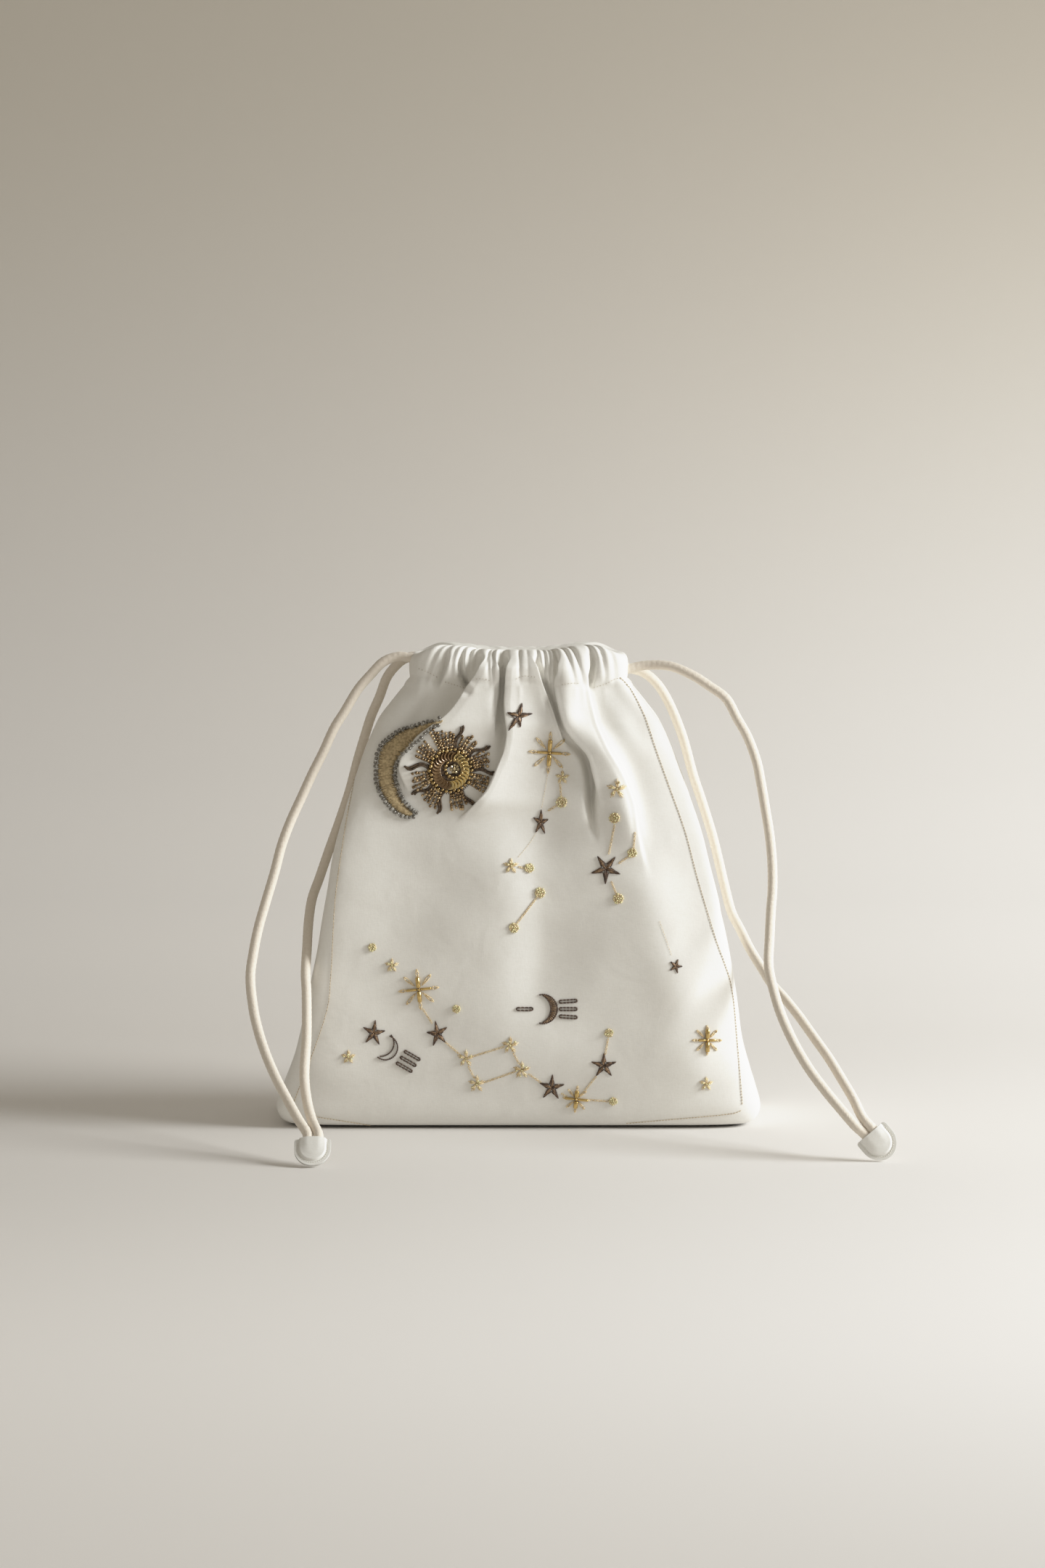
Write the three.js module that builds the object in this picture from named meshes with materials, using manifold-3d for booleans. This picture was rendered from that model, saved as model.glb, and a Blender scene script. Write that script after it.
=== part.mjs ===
// Ivory satin drawstring pouch with a beaded sun and moon, two drawcords and stitched end tabs.
// Millimetres, +Z up. The pouch stands on z = 0, its embroidered front faces -Y.
import * as THREE from "three";
import Module from "manifold-3d";

const CLOTH = 1.5; // satin and lining together
const GAP = 0.3; // clearance between pieces that touch
const CORD_DIAMETER = 4.5;
const CORD_SIDES = 8;

// Outline of the pouch from the foot to the stitch line under the casing.
// squareness is the exponent of the superellipse, lean the sideways shift of the section.
const SECTIONS = [
  { z: 0, halfWidth: 106, halfDepth: 27.5, squareness: 5, lean: 0 },
  { z: 1.5, halfWidth: 110.5, halfDepth: 31.5, squareness: 4.9, lean: 0 },
  { z: 5, halfWidth: 113.8, halfDepth: 34.2, squareness: 4.7, lean: 0 },
  { z: 10, halfWidth: 115, halfDepth: 35.6, squareness: 4.5, lean: 0 },
  { z: 18, halfWidth: 112.6, halfDepth: 36.6, squareness: 4.2, lean: 0.3 },
  { z: 28, halfWidth: 109, halfDepth: 37.3, squareness: 3.8, lean: 0.6 },
  { z: 40, halfWidth: 105.6, halfDepth: 37.6, squareness: 3.6, lean: 1 },
  { z: 56, halfWidth: 102.6, halfDepth: 37.3, squareness: 3.3, lean: 1.6 },
  { z: 74, halfWidth: 99.6, halfDepth: 36.4, squareness: 3.1, lean: 2 },
  { z: 92, halfWidth: 96.2, halfDepth: 35.2, squareness: 3, lean: 2 },
  { z: 110, halfWidth: 92.7, halfDepth: 33.6, squareness: 2.9, lean: 1.6 },
  { z: 127, halfWidth: 89.2, halfDepth: 31.6, squareness: 2.9, lean: 1 },
  { z: 142, halfWidth: 85.6, halfDepth: 29.6, squareness: 2.8, lean: 0.6 },
  { z: 156, halfWidth: 81.5, halfDepth: 27.6, squareness: 2.8, lean: 0.4 },
  { z: 169, halfWidth: 77, halfDepth: 25.6, squareness: 2.7, lean: 0.3 },
  { z: 181, halfWidth: 72.9, halfDepth: 23.8, squareness: 2.7, lean: 0.2 },
  { z: 191, halfWidth: 68.6, halfDepth: 22.4, squareness: 2.6, lean: 0 },
  { z: 199, halfWidth: 62.9, halfDepth: 21.2, squareness: 2.6, lean: 0 },
  { z: 204, halfWidth: 57.4, halfDepth: 20.4, squareness: 2.6, lean: 0 },
  { z: 207, halfWidth: 53, halfDepth: 20, squareness: 2.6, lean: 0 },
];

// Folds that run down from the casing. over says which side of the fold lies on top of the other, valley is a trough.
const FRONT_FOLDS = [
  { over: "right", xTop: -24, xMid: -41, zMid: 187, xEnd: -57, zEnd: 154, depth: 4, reach: 13 },
  { over: "right", xTop: -8, xMid: -10, zMid: 182, xEnd: -29, zEnd: 146, depth: 3.6, reach: 12 },
  { over: "valley", xTop: 14, xMid: 27, zMid: 181, xEnd: 39, zEnd: 134, depth: 5, reach: 6 },
  { over: "left", xTop: 32.5, xMid: 50, zMid: 161, xEnd: 66, zEnd: 92, depth: 4.5, reach: 12 },
];
const BACK_FOLDS = [
  { over: "left", xTop: -30, xMid: -41, zMid: 178, xEnd: -52, zEnd: 140, depth: 3.2, reach: 12 },
  { over: "valley", xTop: -6, xMid: -10, zMid: 176, xEnd: -16, zEnd: 130, depth: 4, reach: 8 },
  { over: "right", xTop: 24, xMid: 33, zMid: 180, xEnd: 44, zEnd: 144, depth: 3.2, reach: 12 },
];

// Gathered tunnel hem: its path is a stadium round the mouth, its section is listed from the outer hem over the crown.
const MOUTH_STRAIGHT = 31;
const MOUTH_RADIUS = 12;
const CASING_SECTION = [
  { r: 7.6, z: 207.6, gather: 0.7 },
  { r: 8.6, z: 211.5, gather: 1 },
  { r: 8.9, z: 217, gather: 1 },
  { r: 7.6, z: 223, gather: 0.9 },
  { r: 3.2, z: 227.2, gather: 0.5 },
  { r: -1, z: 227.6, gather: 0.3 },
  { r: -4.2, z: 224, gather: 0.1 },
  { r: -4.7, z: 217.5, gather: 0 },
  { r: -2.8, z: 211.5, gather: 0 },
  { r: 3, z: 207.6, gather: 0.1 },
];
const GATHER_WIDTH = 2.6;
const FRONT_GATHERS = [
  { x: -38.7, depth: 2.4 },
  { x: -24, depth: 3.6 },
  { x: -8, depth: 4.2 },
  { x: 11, depth: 3.4 },
  { x: 17, depth: 3.8 },
  { x: 32.5, depth: 3.8 },
];
const BACK_GATHERS = [
  { x: -33, depth: 3.4 },
  { x: -21, depth: 3.8 },
  { x: -6, depth: 4.2 },
  { x: 9, depth: 3.4 },
  { x: 24, depth: 4 },
  { x: 36, depth: 3 },
];

// Free strands from the casing to the tabs, hanging beside the pouch and coming forward along the floor.
const STRANDS = [
  {
    name: "cord_left_outer",
    points: [
      [-51.2, -8.9, 220.9], [-57, -8.3, 221.5], [-64, -9.4, 219], [-70, -12, 213], [-76, -15, 206], [-82, -18, 196],
      [-87, -20, 188], [-92, -22, 177], [-97, -25, 167], [-102, -28, 156], [-107, -31, 145], [-111, -34, 134],
      [-114, -38, 122], [-118, -43, 108], [-121, -47, 97], [-123, -52, 86], [-124, -58, 75], [-122, -66, 62],
      [-119, -73, 52], [-115, -81, 43], [-110, -89, 34], [-104, -97, 25], [-99, -104, 18], [-94.4, -110, 12.2],
    ],
  },
  {
    name: "cord_left_inner",
    points: [
      [-51.5, 8.9, 220.7], [-57, 8.4, 218], [-63, 10, 211], [-67, 13, 201], [-71, 16, 192], [-74, 18, 183],
      [-78, 20, 170], [-82, 20, 155], [-87, 18, 140], [-92, 14, 126], [-96, 7, 114], [-99, -2, 105],
      [-100, -13, 95], [-100, -24, 85], [-100, -35, 74], [-99, -44, 65], [-98, -60, 48], [-98, -76, 33],
      [-96, -90, 24], [-93, -101, 17], [-89.6, -110, 12.2],
    ],
  },
  {
    name: "cord_right_outer",
    points: [
      [51.2, -8.9, 215.5], [61, -8.6, 217.4], [72, -11, 217], [82, -14, 213], [90, -16, 208], [98, -18, 202],
      [103, -20, 193], [108, -22, 184], [112, -24, 173], [114, -26, 163], [116, -28, 151], [118, -30, 138],
      [119, -33, 126], [119, -36, 114], [118, -40, 104], [117, -46, 92], [116, -55, 80], [118, -63, 69],
      [121, -71, 59], [126, -80, 48], [132, -88, 38], [139, -95, 29], [146, -101, 21], [151.2, -104.8, 15.3], [155.3, -106.3, 11],
    ],
  },
  {
    name: "cord_right_inner",
    points: [
      [51.3, 8.9, 215.3], [60, 8.6, 213], [67, 10, 207], [73, 12, 197], [79, 12, 182], [84, 12, 164],
      [88, 11, 152], [93, 9, 136], [96, 7, 124], [99, 4, 111], [102, -2, 99], [106, -9, 91],
      [110, -18, 83], [115, -28, 75], [119, -38, 69], [124, -47, 64], [130, -56, 57], [136, -66, 49],
      [142, -77, 41], [147, -86, 33], [151.5, -95, 25.5], [154.8, -102.2, 18.6], [158.8, -104.9, 14.1],
    ],
  },
];

// Stitched satin tabs over the cord ends: top is the middle of the straight edge, down runs from there to the round end.
const TAB_WIDTH = 16;
const TAB_LENGTH = 14.5;
const TAB_CORE = 1.4;
const TAB_BEVEL = 1.2;
const TABS = [
  { name: "tab_left", top: [-91.9, -110.9, 11.3], down: [0.02, -0.72, -0.69], face: [0, -0.69, 0.72] },
  { name: "tab_right", top: [157.4, -105.8, 12.2], down: [0.69, -0.2, -0.7], face: [0.12, -0.96, 0.25] },
];

// Embroidery that stands proud of the front: crescent by its two rim arcs, sun by its rings, bugle stars by their arms.
const MOON = { x: -45, z: 171, outerRadius: 22.4, innerRadius: 22.2, innerX: -35.4, innerZ: 168.6, thickness: 1.8 };
const SUN = { x: -31, z: 169, radius: 18, thickness: 1.4, domeRadius: 9.4, dome: 1.2 };
const BUGLE_DIAMETER = 1.7;
const BUGLE_SIDES = 8;
const BUGLE_STARS = [
  { name: "bugle_1", x: 14.5, z: 178, armUp: 8.2, armAcross: 6, twist: 8 },
  { name: "bugle_2", x: -46.9, z: 66.6, armUp: 7.2, armAcross: 6.4, twist: -10 },
  { name: "bugle_3", x: 27.6, z: 14.6, armUp: 4.4, armAcross: 5.6, twist: 12 },
  { name: "bugle_4", x: 87.5, z: 41.7, armUp: 5.4, armAcross: 4.4, twist: 0 },
];

const MATERIALS = {
  satin: { color: "#efece1", roughness: 0.45, metalness: 0 },
  cord: { color: "#e6decd", roughness: 0.85, metalness: 0 },
  tab: { color: "#ecebe4", roughness: 0.4, metalness: 0 },
  thread: { color: "#a39063", roughness: 0.5, metalness: 0.1 },
  beadwork: { color: "#a9854f", roughness: 0.35, metalness: 0.4 },
  glass: { color: "#b8954f", roughness: 0.2, metalness: 0.4 },
};

const pouch = new THREE.Group();
pouch.name = "drawstring_pouch";

function addPiece(name, slot, geometry) {
  const material = new THREE.MeshStandardMaterial({ ...MATERIALS[slot] });
  material.name = slot;
  const mesh = new THREE.Mesh(geometry, material);
  mesh.name = name;
  pouch.add(mesh);
  return mesh;
}

function smoothstep(low, high, value) {
  const t = Math.min(1, Math.max(0, (value - low) / (high - low)));
  return t * t * (3 - 2 * t);
}

// Half of a section from the left seam to the right seam at equal steps along the cloth; side is -1 at the front.
function halfSection(section, columns, side) {
  const fine = [];
  for (let i = 0; i <= 400; i += 1) {
    const angle = Math.PI - (Math.PI * i) / 400;
    const c = Math.cos(angle);
    const s = Math.sin(angle);
    const power = 2 / section.squareness;
    const x = section.halfWidth * Math.sign(c) * Math.abs(c) ** power;
    const y = side * section.halfDepth * Math.abs(s) ** power;
    fine.push(new THREE.Vector2(x, y));
  }
  const travelled = [0];
  for (let i = 1; i < fine.length; i += 1) travelled.push(travelled[i - 1] + fine[i].distanceTo(fine[i - 1]));
  const points = [];
  let at = 0;
  for (let column = 0; column <= columns; column += 1) {
    const target = (travelled[400] * column) / columns;
    while (at < 399 && travelled[at + 1] < target) at += 1;
    const part = (target - travelled[at]) / (travelled[at + 1] - travelled[at]);
    points.push(fine[at].clone().lerp(fine[at + 1], part));
  }
  return points;
}

// How far the folds lift the cloth outward at a place on the panel.
function foldLift(folds, x, z) {
  let lift = 0;
  for (const fold of folds) {
    const top = 208;
    if (z < fold.zEnd - 10) continue;
    const along = (top - z) / (top - fold.zEnd);
    const middle = (top - fold.zMid) / (top - fold.zEnd);
    const bend = fold.xMid - (fold.xTop + (fold.xEnd - fold.xTop) * middle);
    const curve = (along * (1 - along)) / (middle * (1 - middle));
    const line = fold.xTop + (fold.xEnd - fold.xTop) * along + bend * curve;
    const off = x - line;
    const strength = fold.depth * smoothstep(fold.zEnd - 10, fold.zEnd + 22, z);
    if (fold.over === "valley") {
      lift -= strength * Math.exp(-((off / fold.reach) ** 2));
    } else {
      const facing = fold.over === "right" ? off : -off;
      lift += strength * Math.tanh(facing / 3) * Math.exp(-Math.abs(facing) / fold.reach);
    }
  }
  return lift;
}

// A closed shell from a grid of outer points: the inner skin is set in by the cloth thickness, the rims are bridged.
function shellFromGrid(grid) {
  const rows = grid.length;
  const columns = grid[0].length;
  const middle = new THREE.Vector3(0, 0, 100);
  const inner = grid.map((row, r) =>
    row.map((point, c) => {
      const across = grid[r][Math.min(columns - 1, c + 1)].clone().sub(grid[r][Math.max(0, c - 1)]);
      const up = grid[Math.min(rows - 1, r + 1)][c].clone().sub(grid[Math.max(0, r - 1)][c]);
      const normal = across.cross(up).normalize();
      const outward = new THREE.Vector3(point.x * 0.02, point.y, 0).normalize();
      if (normal.dot(outward.add(new THREE.Vector3(0, 0, point.z < 2 ? -0.5 : 0))) < 0) normal.negate();
      return point.clone().addScaledVector(normal, -CLOTH);
    })
  );
  const positions = [];
  for (const skin of [grid, inner]) for (const row of skin) for (const point of row) positions.push(point.x, point.y, point.z);
  const index = [];
  const outerAt = (r, c) => r * columns + c;
  const innerAt = (r, c) => rows * columns + r * columns + c;
  const quad = (a, b, c, d) => index.push(a, b, c, a, c, d);
  for (let r = 0; r + 1 < rows; r += 1) {
    for (let c = 0; c + 1 < columns; c += 1) {
      quad(outerAt(r, c), outerAt(r, c + 1), outerAt(r + 1, c + 1), outerAt(r + 1, c));
      quad(innerAt(r, c), innerAt(r + 1, c), innerAt(r + 1, c + 1), innerAt(r, c + 1));
    }
    quad(outerAt(r, 0), outerAt(r + 1, 0), innerAt(r + 1, 0), innerAt(r, 0));
    quad(outerAt(r, columns - 1), innerAt(r, columns - 1), innerAt(r + 1, columns - 1), outerAt(r + 1, columns - 1));
  }
  for (let c = 0; c + 1 < columns; c += 1) {
    quad(outerAt(0, c), innerAt(0, c), innerAt(0, c + 1), outerAt(0, c + 1));
    quad(outerAt(rows - 1, c), outerAt(rows - 1, c + 1), innerAt(rows - 1, c + 1), innerAt(rows - 1, c));
  }
  return outwardGeometry(positions, index);
}

// Turns the faces outward when the enclosed volume comes out negative.
function outwardGeometry(positions, index) {
  let volume = 0;
  const corner = (i) => new THREE.Vector3().fromArray(positions, i * 3);
  for (let i = 0; i < index.length; i += 3) {
    volume += corner(index[i]).dot(corner(index[i + 1]).cross(corner(index[i + 2])));
  }
  if (volume < 0) {
    for (let i = 0; i < index.length; i += 3) [index[i + 1], index[i + 2]] = [index[i + 2], index[i + 1]];
  }
  const geometry = new THREE.BufferGeometry();
  geometry.setAttribute("position", new THREE.Float32BufferAttribute(positions, 3));
  geometry.setIndex(index);
  geometry.computeVertexNormals();
  return geometry;
}

// Panels: each is a half of every section, lifted by its folds and kept clear of the side seam.
function panelGrid(side, columns, folds) {
  return SECTIONS.map((section) =>
    halfSection(section, columns, side).map((point) => {
      const faceOn = smoothstep(0.25, 0.8, Math.abs(point.y) / section.halfDepth);
      const lift = faceOn * foldLift(folds, point.x, section.z);
      return new THREE.Vector3(point.x + section.lean, point.y + side * (GAP / 2 + lift), section.z);
    })
  );
}
const front = addPiece("pouch_front", "satin", shellFromGrid(panelGrid(-1, 46, FRONT_FOLDS)));
addPiece("pouch_back", "satin", shellFromGrid(panelGrid(1, 30, BACK_FOLDS)));

// Base: a flat panel just inside the rolled foot of the walls.
const BASE_INSET = 1.3;
const baseShape = new THREE.Shape();
const foot = SECTIONS[0];
const baseSection = { ...foot, halfWidth: foot.halfWidth - BASE_INSET, halfDepth: foot.halfDepth - BASE_INSET };
const baseFront = halfSection(baseSection, 24, -1);
const baseBack = halfSection(baseSection, 24, 1).reverse().slice(1, -1);
baseShape.setFromPoints([...baseFront, ...baseBack]);
const baseGeometry = new THREE.ExtrudeGeometry(baseShape, { depth: CLOTH, bevelEnabled: false, steps: 1 });
addPiece("pouch_base", "satin", baseGeometry);

// Casing: the section swept round the mouth with gathers pressed into it, then channels cut for the cords.
const wasm = await Module();
wasm.setup();

function toManifold(geometry) {
  const merged = new Map();
  const vertices = [];
  const remap = [];
  const position = geometry.attributes.position;
  for (let i = 0; i < position.count; i += 1) {
    const key = [position.getX(i), position.getY(i), position.getZ(i)].map((n) => n.toFixed(4)).join();
    if (!merged.has(key)) {
      merged.set(key, vertices.length / 3);
      vertices.push(position.getX(i), position.getY(i), position.getZ(i));
    }
    remap.push(merged.get(key));
  }
  const corners = geometry.index ? Array.from(geometry.index.array, (i) => remap[i]) : remap;
  const mesh = new wasm.Mesh({
    numProp: 3,
    vertProperties: new Float32Array(vertices),
    triVerts: new Uint32Array(corners),
  });
  mesh.merge();
  return new wasm.Manifold(mesh);
}

function fromManifold(solid) {
  const mesh = solid.getMesh();
  const positions = [];
  for (let i = 0; i < mesh.numVert; i += 1) {
    for (let k = 0; k < 3; k += 1) positions.push(mesh.vertProperties[i * mesh.numProp + k]);
  }
  const geometry = new THREE.BufferGeometry();
  geometry.setAttribute("position", new THREE.Float32BufferAttribute(positions, 3));
  geometry.setIndex(Array.from(mesh.triVerts));
  geometry.computeVertexNormals();
  return geometry;
}

// Place and outward direction on the stadium path at a share of the way round, starting at the left end.
function mouthPath(share) {
  const arc = Math.PI * MOUTH_RADIUS;
  const straight = 2 * MOUTH_STRAIGHT;
  let s = share * (2 * arc + 2 * straight);
  if (s < arc / 2) return mouthEnd(-1, s / MOUTH_RADIUS);
  s -= arc / 2;
  if (s < straight) return { x: -MOUTH_STRAIGHT + s, y: -MOUTH_RADIUS, outX: 0, outY: -1 };
  s -= straight;
  if (s < arc) return mouthEnd(1, Math.PI / 2 - s / MOUTH_RADIUS);
  s -= arc;
  if (s < straight) return { x: MOUTH_STRAIGHT - s, y: MOUTH_RADIUS, outX: 0, outY: 1 };
  s -= straight;
  return mouthEnd(-1, s / MOUTH_RADIUS - Math.PI / 2);
}

function mouthEnd(sideX, angle) {
  const outX = sideX * Math.cos(angle);
  const outY = -Math.sin(angle);
  return { x: sideX * MOUTH_STRAIGHT + MOUTH_RADIUS * outX, y: MOUTH_RADIUS * outY, outX, outY };
}

function gatherDepth(place) {
  let depth = 0;
  for (const gather of place.outY < 0 ? FRONT_GATHERS : BACK_GATHERS) {
    depth += gather.depth * Math.exp(-(((place.x - gather.x) / GATHER_WIDTH) ** 2)) * Math.abs(place.outY);
  }
  return Math.min(depth, 4.4);
}

function casingRing(steps) {
  const sides = CASING_SECTION.length;
  const positions = [];
  const index = [];
  for (let i = 0; i < steps; i += 1) {
    const place = mouthPath(i / steps);
    const depth = gatherDepth(place);
    for (const point of CASING_SECTION) {
      const r = point.r - depth * point.gather;
      const drop = 0.35 * depth * smoothstep(220, 228, point.z);
      positions.push(place.x + r * place.outX, place.y + r * place.outY, point.z - drop);
    }
    for (let k = 0; k < sides; k += 1) {
      const next = ((i + 1) % steps) * sides;
      const a = i * sides + k;
      const b = i * sides + ((k + 1) % sides);
      const c = next + ((k + 1) % sides);
      const d = next + k;
      index.push(a, b, c, a, c, d);
    }
  }
  return outwardGeometry(positions, index);
}

// A round cord along a smooth route: the tube is built step by step so that its ends are flat and closed.
function cordTube(points, steps, diameter) {
  const route = new THREE.CatmullRomCurve3(points.map((p) => new THREE.Vector3(...p)), false, "centripetal");
  const shape = new THREE.Shape();
  for (let i = 0; i < CORD_SIDES; i += 1) {
    const angle = (2 * Math.PI * (i + 0.5)) / CORD_SIDES;
    const x = (diameter / 2) * Math.cos(angle);
    const y = (diameter / 2) * Math.sin(angle);
    if (i === 0) shape.moveTo(x, y);
    else shape.lineTo(x, y);
  }
  shape.closePath();
  return new THREE.ExtrudeGeometry(shape, { steps, extrudePath: route, bevelEnabled: false });
}

// Route of a cord inside the casing: in through the eyelets of one end, round the far end of the mouth and back.
function runRoute(sideX, level, reach) {
  const near = sideX * MOUTH_STRAIGHT;
  const far = -sideX * MOUTH_STRAIGHT;
  const eyelet = sideX * reach;
  const route = [[eyelet, -9, level], [near + sideX * 8, -11.2, level], [near, -12, level], [0, -12, level], [far, -12, level]];
  for (const angle of [-60, -30, 0, 30, 60]) {
    const turn = THREE.MathUtils.degToRad(angle);
    route.push([far - sideX * MOUTH_RADIUS * Math.cos(turn), MOUTH_RADIUS * Math.sin(turn), level]);
  }
  route.push([far, 12, level], [0, 12, level], [near, 12, level], [near + sideX * 8, 11.2, level], [eyelet, 9, level]);
  return route;
}

const RUNS = [
  { name: "cord_run_left", sideX: -1, level: 220.8 },
  { name: "cord_run_right", sideX: 1, level: 215.4 },
];
const EYELET_REACH = 50.3;
const RUN_STEPS = 34;
let casing = toManifold(casingRing(104));
const CHANNEL_DIAMETER = CORD_DIAMETER + 2 * GAP + 0.2;
for (const run of RUNS) {
  const route = runRoute(run.sideX, run.level, EYELET_REACH);
  casing = casing.subtract(toManifold(cordTube(route, RUN_STEPS, CHANNEL_DIAMETER)));
  for (const end of [route[0], route[route.length - 1]]) {
    const eyelet = new THREE.CylinderGeometry(CHANNEL_DIAMETER / 2, CHANNEL_DIAMETER / 2, 10, 12);
    eyelet.rotateZ(Math.PI / 2);
    eyelet.translate(end[0] + run.sideX * 4, end[1], end[2]);
    casing = casing.subtract(toManifold(eyelet));
  }
}
addPiece("casing", "satin", fromManifold(casing));
for (const run of RUNS) {
  addPiece(run.name, "cord", cordTube(runRoute(run.sideX, run.level, EYELET_REACH), RUN_STEPS, CORD_DIAMETER));
}

// Free strands: each starts just outside its eyelet and ends against its tab.
const STRAND_STEPS = 24;
for (const strand of STRANDS) addPiece(strand.name, "cord", cordTube(strand.points, STRAND_STEPS, CORD_DIAMETER));

// Tabs: a padded D of satin, straight edge to the cords and round end on the floor.
function tabGeometry() {
  const half = TAB_WIDTH / 2 - TAB_BEVEL;
  const shoulder = 4;
  const shape = new THREE.Shape();
  shape.moveTo(-half, TAB_BEVEL);
  shape.lineTo(half, TAB_BEVEL);
  shape.lineTo(half, shoulder);
  shape.absellipse(0, shoulder, half, TAB_LENGTH - TAB_BEVEL - shoulder, 0, Math.PI, false, 0);
  shape.lineTo(-half, TAB_BEVEL);
  const geometry = new THREE.ExtrudeGeometry(shape, {
    depth: TAB_CORE,
    bevelEnabled: true,
    bevelThickness: TAB_BEVEL,
    bevelSize: TAB_BEVEL,
    bevelSegments: 2,
    curveSegments: 9,
    steps: 1,
  });
  geometry.translate(0, 0, -TAB_CORE / 2);
  return geometry;
}
for (const tab of TABS) {
  const down = new THREE.Vector3(...tab.down).normalize();
  const face = new THREE.Vector3(...tab.face);
  const across = new THREE.Vector3().crossVectors(down, face).normalize();
  const facing = new THREE.Vector3().crossVectors(across, down);
  const geometry = tabGeometry();
  geometry.applyMatrix4(new THREE.Matrix4().makeBasis(across, down, facing).setPosition(...tab.top));
  addPiece(tab.name, "tab", geometry);
}

// Raised embroidery follows the facets of the front panel, a gap clear of them.
const probe = new THREE.Raycaster();
front.material.side = THREE.DoubleSide;
function frontDepth(x, z) {
  probe.set(new THREE.Vector3(x, -200, z), new THREE.Vector3(0, 1, 0));
  return probe.intersectObject(front)[0].point.y;
}

// A patch laid on the front: rows of (x, z, thickness) become a closed plate, its rims bridged.
function patchGeometry(rows) {
  const columns = rows[0].length;
  const positions = [];
  const index = [];
  const lift = 0.65;
  for (const layer of [1, 0]) {
    for (const row of rows) {
      for (const point of row) positions.push(point.x, frontDepth(point.x, point.z) - lift - layer * point.thickness, point.z);
    }
  }
  const top = (r, c) => r * columns + c;
  const under = (r, c) => rows.length * columns + top(r, c);
  const quad = (a, b, c, d) => index.push(a, b, c, a, c, d);
  const spans = columns - 1;
  for (let r = 0; r + 1 < rows.length; r += 1) {
    for (let c = 0; c < spans; c += 1) {
      quad(top(r, c), top(r, c + 1), top(r + 1, c + 1), top(r + 1, c));
      quad(under(r, c), under(r + 1, c), under(r + 1, c + 1), under(r, c + 1));
    }
    quad(top(r, 0), top(r + 1, 0), under(r + 1, 0), under(r, 0));
    quad(top(r, spans), under(r, spans), under(r + 1, spans), top(r + 1, spans));
  }
  for (let c = 0; c < spans; c += 1) {
    quad(top(0, c), under(0, c), under(0, c + 1), top(0, c + 1));
    const last = rows.length - 1;
    quad(top(last, c), top(last, c + 1), under(last, c + 1), under(last, c));
  }
  return outwardGeometry(positions, index);
}

// Moon: rows run along the crescent from the lower horn to the upper one, columns cross it from rim to rim.
const moonRows = [];
for (let i = 0; i <= 26; i += 1) {
  const angle = THREE.MathUtils.degToRad(256 - (256 - 74) * (i / 26));
  const outer = new THREE.Vector2(MOON.x + MOON.outerRadius * Math.cos(angle), MOON.z + MOON.outerRadius * Math.sin(angle));
  const toward = new THREE.Vector2(outer.x - MOON.innerX, outer.y - MOON.innerZ).normalize();
  const inner = new THREE.Vector2(MOON.innerX, MOON.innerZ).addScaledVector(toward, MOON.innerRadius);
  const row = [];
  for (let k = 0; k <= 4; k += 1) {
    const point = outer.clone().lerp(inner, k / 4);
    const crown = 0.6 + (MOON.thickness - 0.6) * Math.sin((Math.PI * (k + 0.6)) / 5.2);
    row.push({ x: point.x, z: point.y, thickness: crown });
  }
  moonRows.push(row);
}
addPiece("moon_applique", "thread", patchGeometry(moonRows));

// Sun: a square grid pressed into a disc, domed over the sequins, its rim cut into shallow rays.
const SUN_CELLS = 14;
const sunRows = [];
for (let i = 0; i <= SUN_CELLS; i += 1) {
  const row = [];
  for (let k = 0; k <= SUN_CELLS; k += 1) {
    const u = (2 * k) / SUN_CELLS - 1;
    const v = (2 * i) / SUN_CELLS - 1;
    const across = u * Math.sqrt(1 - (v * v) / 2);
    const up = v * Math.sqrt(1 - (u * u) / 2);
    const rim = Math.max(Math.abs(u), Math.abs(v)) === 1;
    const radius = SUN.radius * (rim && (i + k) % 2 ? 0.93 : 1);
    const reach = SUN.radius * Math.hypot(across, up);
    const dome = SUN.dome * (1 - smoothstep(0.5 * SUN.domeRadius, SUN.domeRadius, reach));
    const thickness = rim ? 0.7 : SUN.thickness + dome;
    row.push({ x: SUN.x + radius * across, z: SUN.z + radius * up, thickness });
  }
  sunRows.push(row);
}
addPiece("sun_applique", "beadwork", patchGeometry(sunRows));

// Bugle stars: four glass bugles meet at the middle of each star and lie on the cloth.
for (const star of BUGLE_STARS) {
  ["a", "b", "c", "d"].forEach((letter, arm) => {
    const angle = THREE.MathUtils.degToRad(90 * arm + 90 + star.twist);
    const length = arm % 2 ? star.armAcross : star.armUp;
    const start = 1.5;
    const onCloth = (share) => {
      const x = star.x + (start + share * length) * Math.cos(angle);
      const z = star.z + (start + share * length) * Math.sin(angle);
      return new THREE.Vector3(x, frontDepth(x, z) - BUGLE_DIAMETER / 2 - 0.6, z);
    };
    const ends = [onCloth(0), onCloth(1)];
    const proud = [0.25, 0.5, 0.75].map((share) => ends[0].y + share * (ends[1].y - ends[0].y) - onCloth(share).y);
    for (const end of ends) end.y -= Math.max(0, ...proud);
    const bead = new THREE.CylinderGeometry(BUGLE_DIAMETER / 2, BUGLE_DIAMETER / 2, length, BUGLE_SIDES);
    const along = ends[1].clone().sub(ends[0]).normalize();
    const turn = new THREE.Quaternion().setFromUnitVectors(new THREE.Vector3(0, 1, 0), along);
    const centre = ends[0].clone().add(ends[1]).multiplyScalar(0.5);
    bead.applyMatrix4(new THREE.Matrix4().compose(centre, turn, new THREE.Vector3(1, 1, 1)));
    addPiece(star.name + letter, "glass", bead);
  });
}

export default pouch;
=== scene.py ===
# Ivory satin drawstring pouch with a beaded sun and moon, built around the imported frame.
# Metres, front facing -Y.
import math
import random

import bpy
import numpy as np
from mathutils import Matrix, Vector
from mathutils.bvhtree import BVHTree


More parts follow.
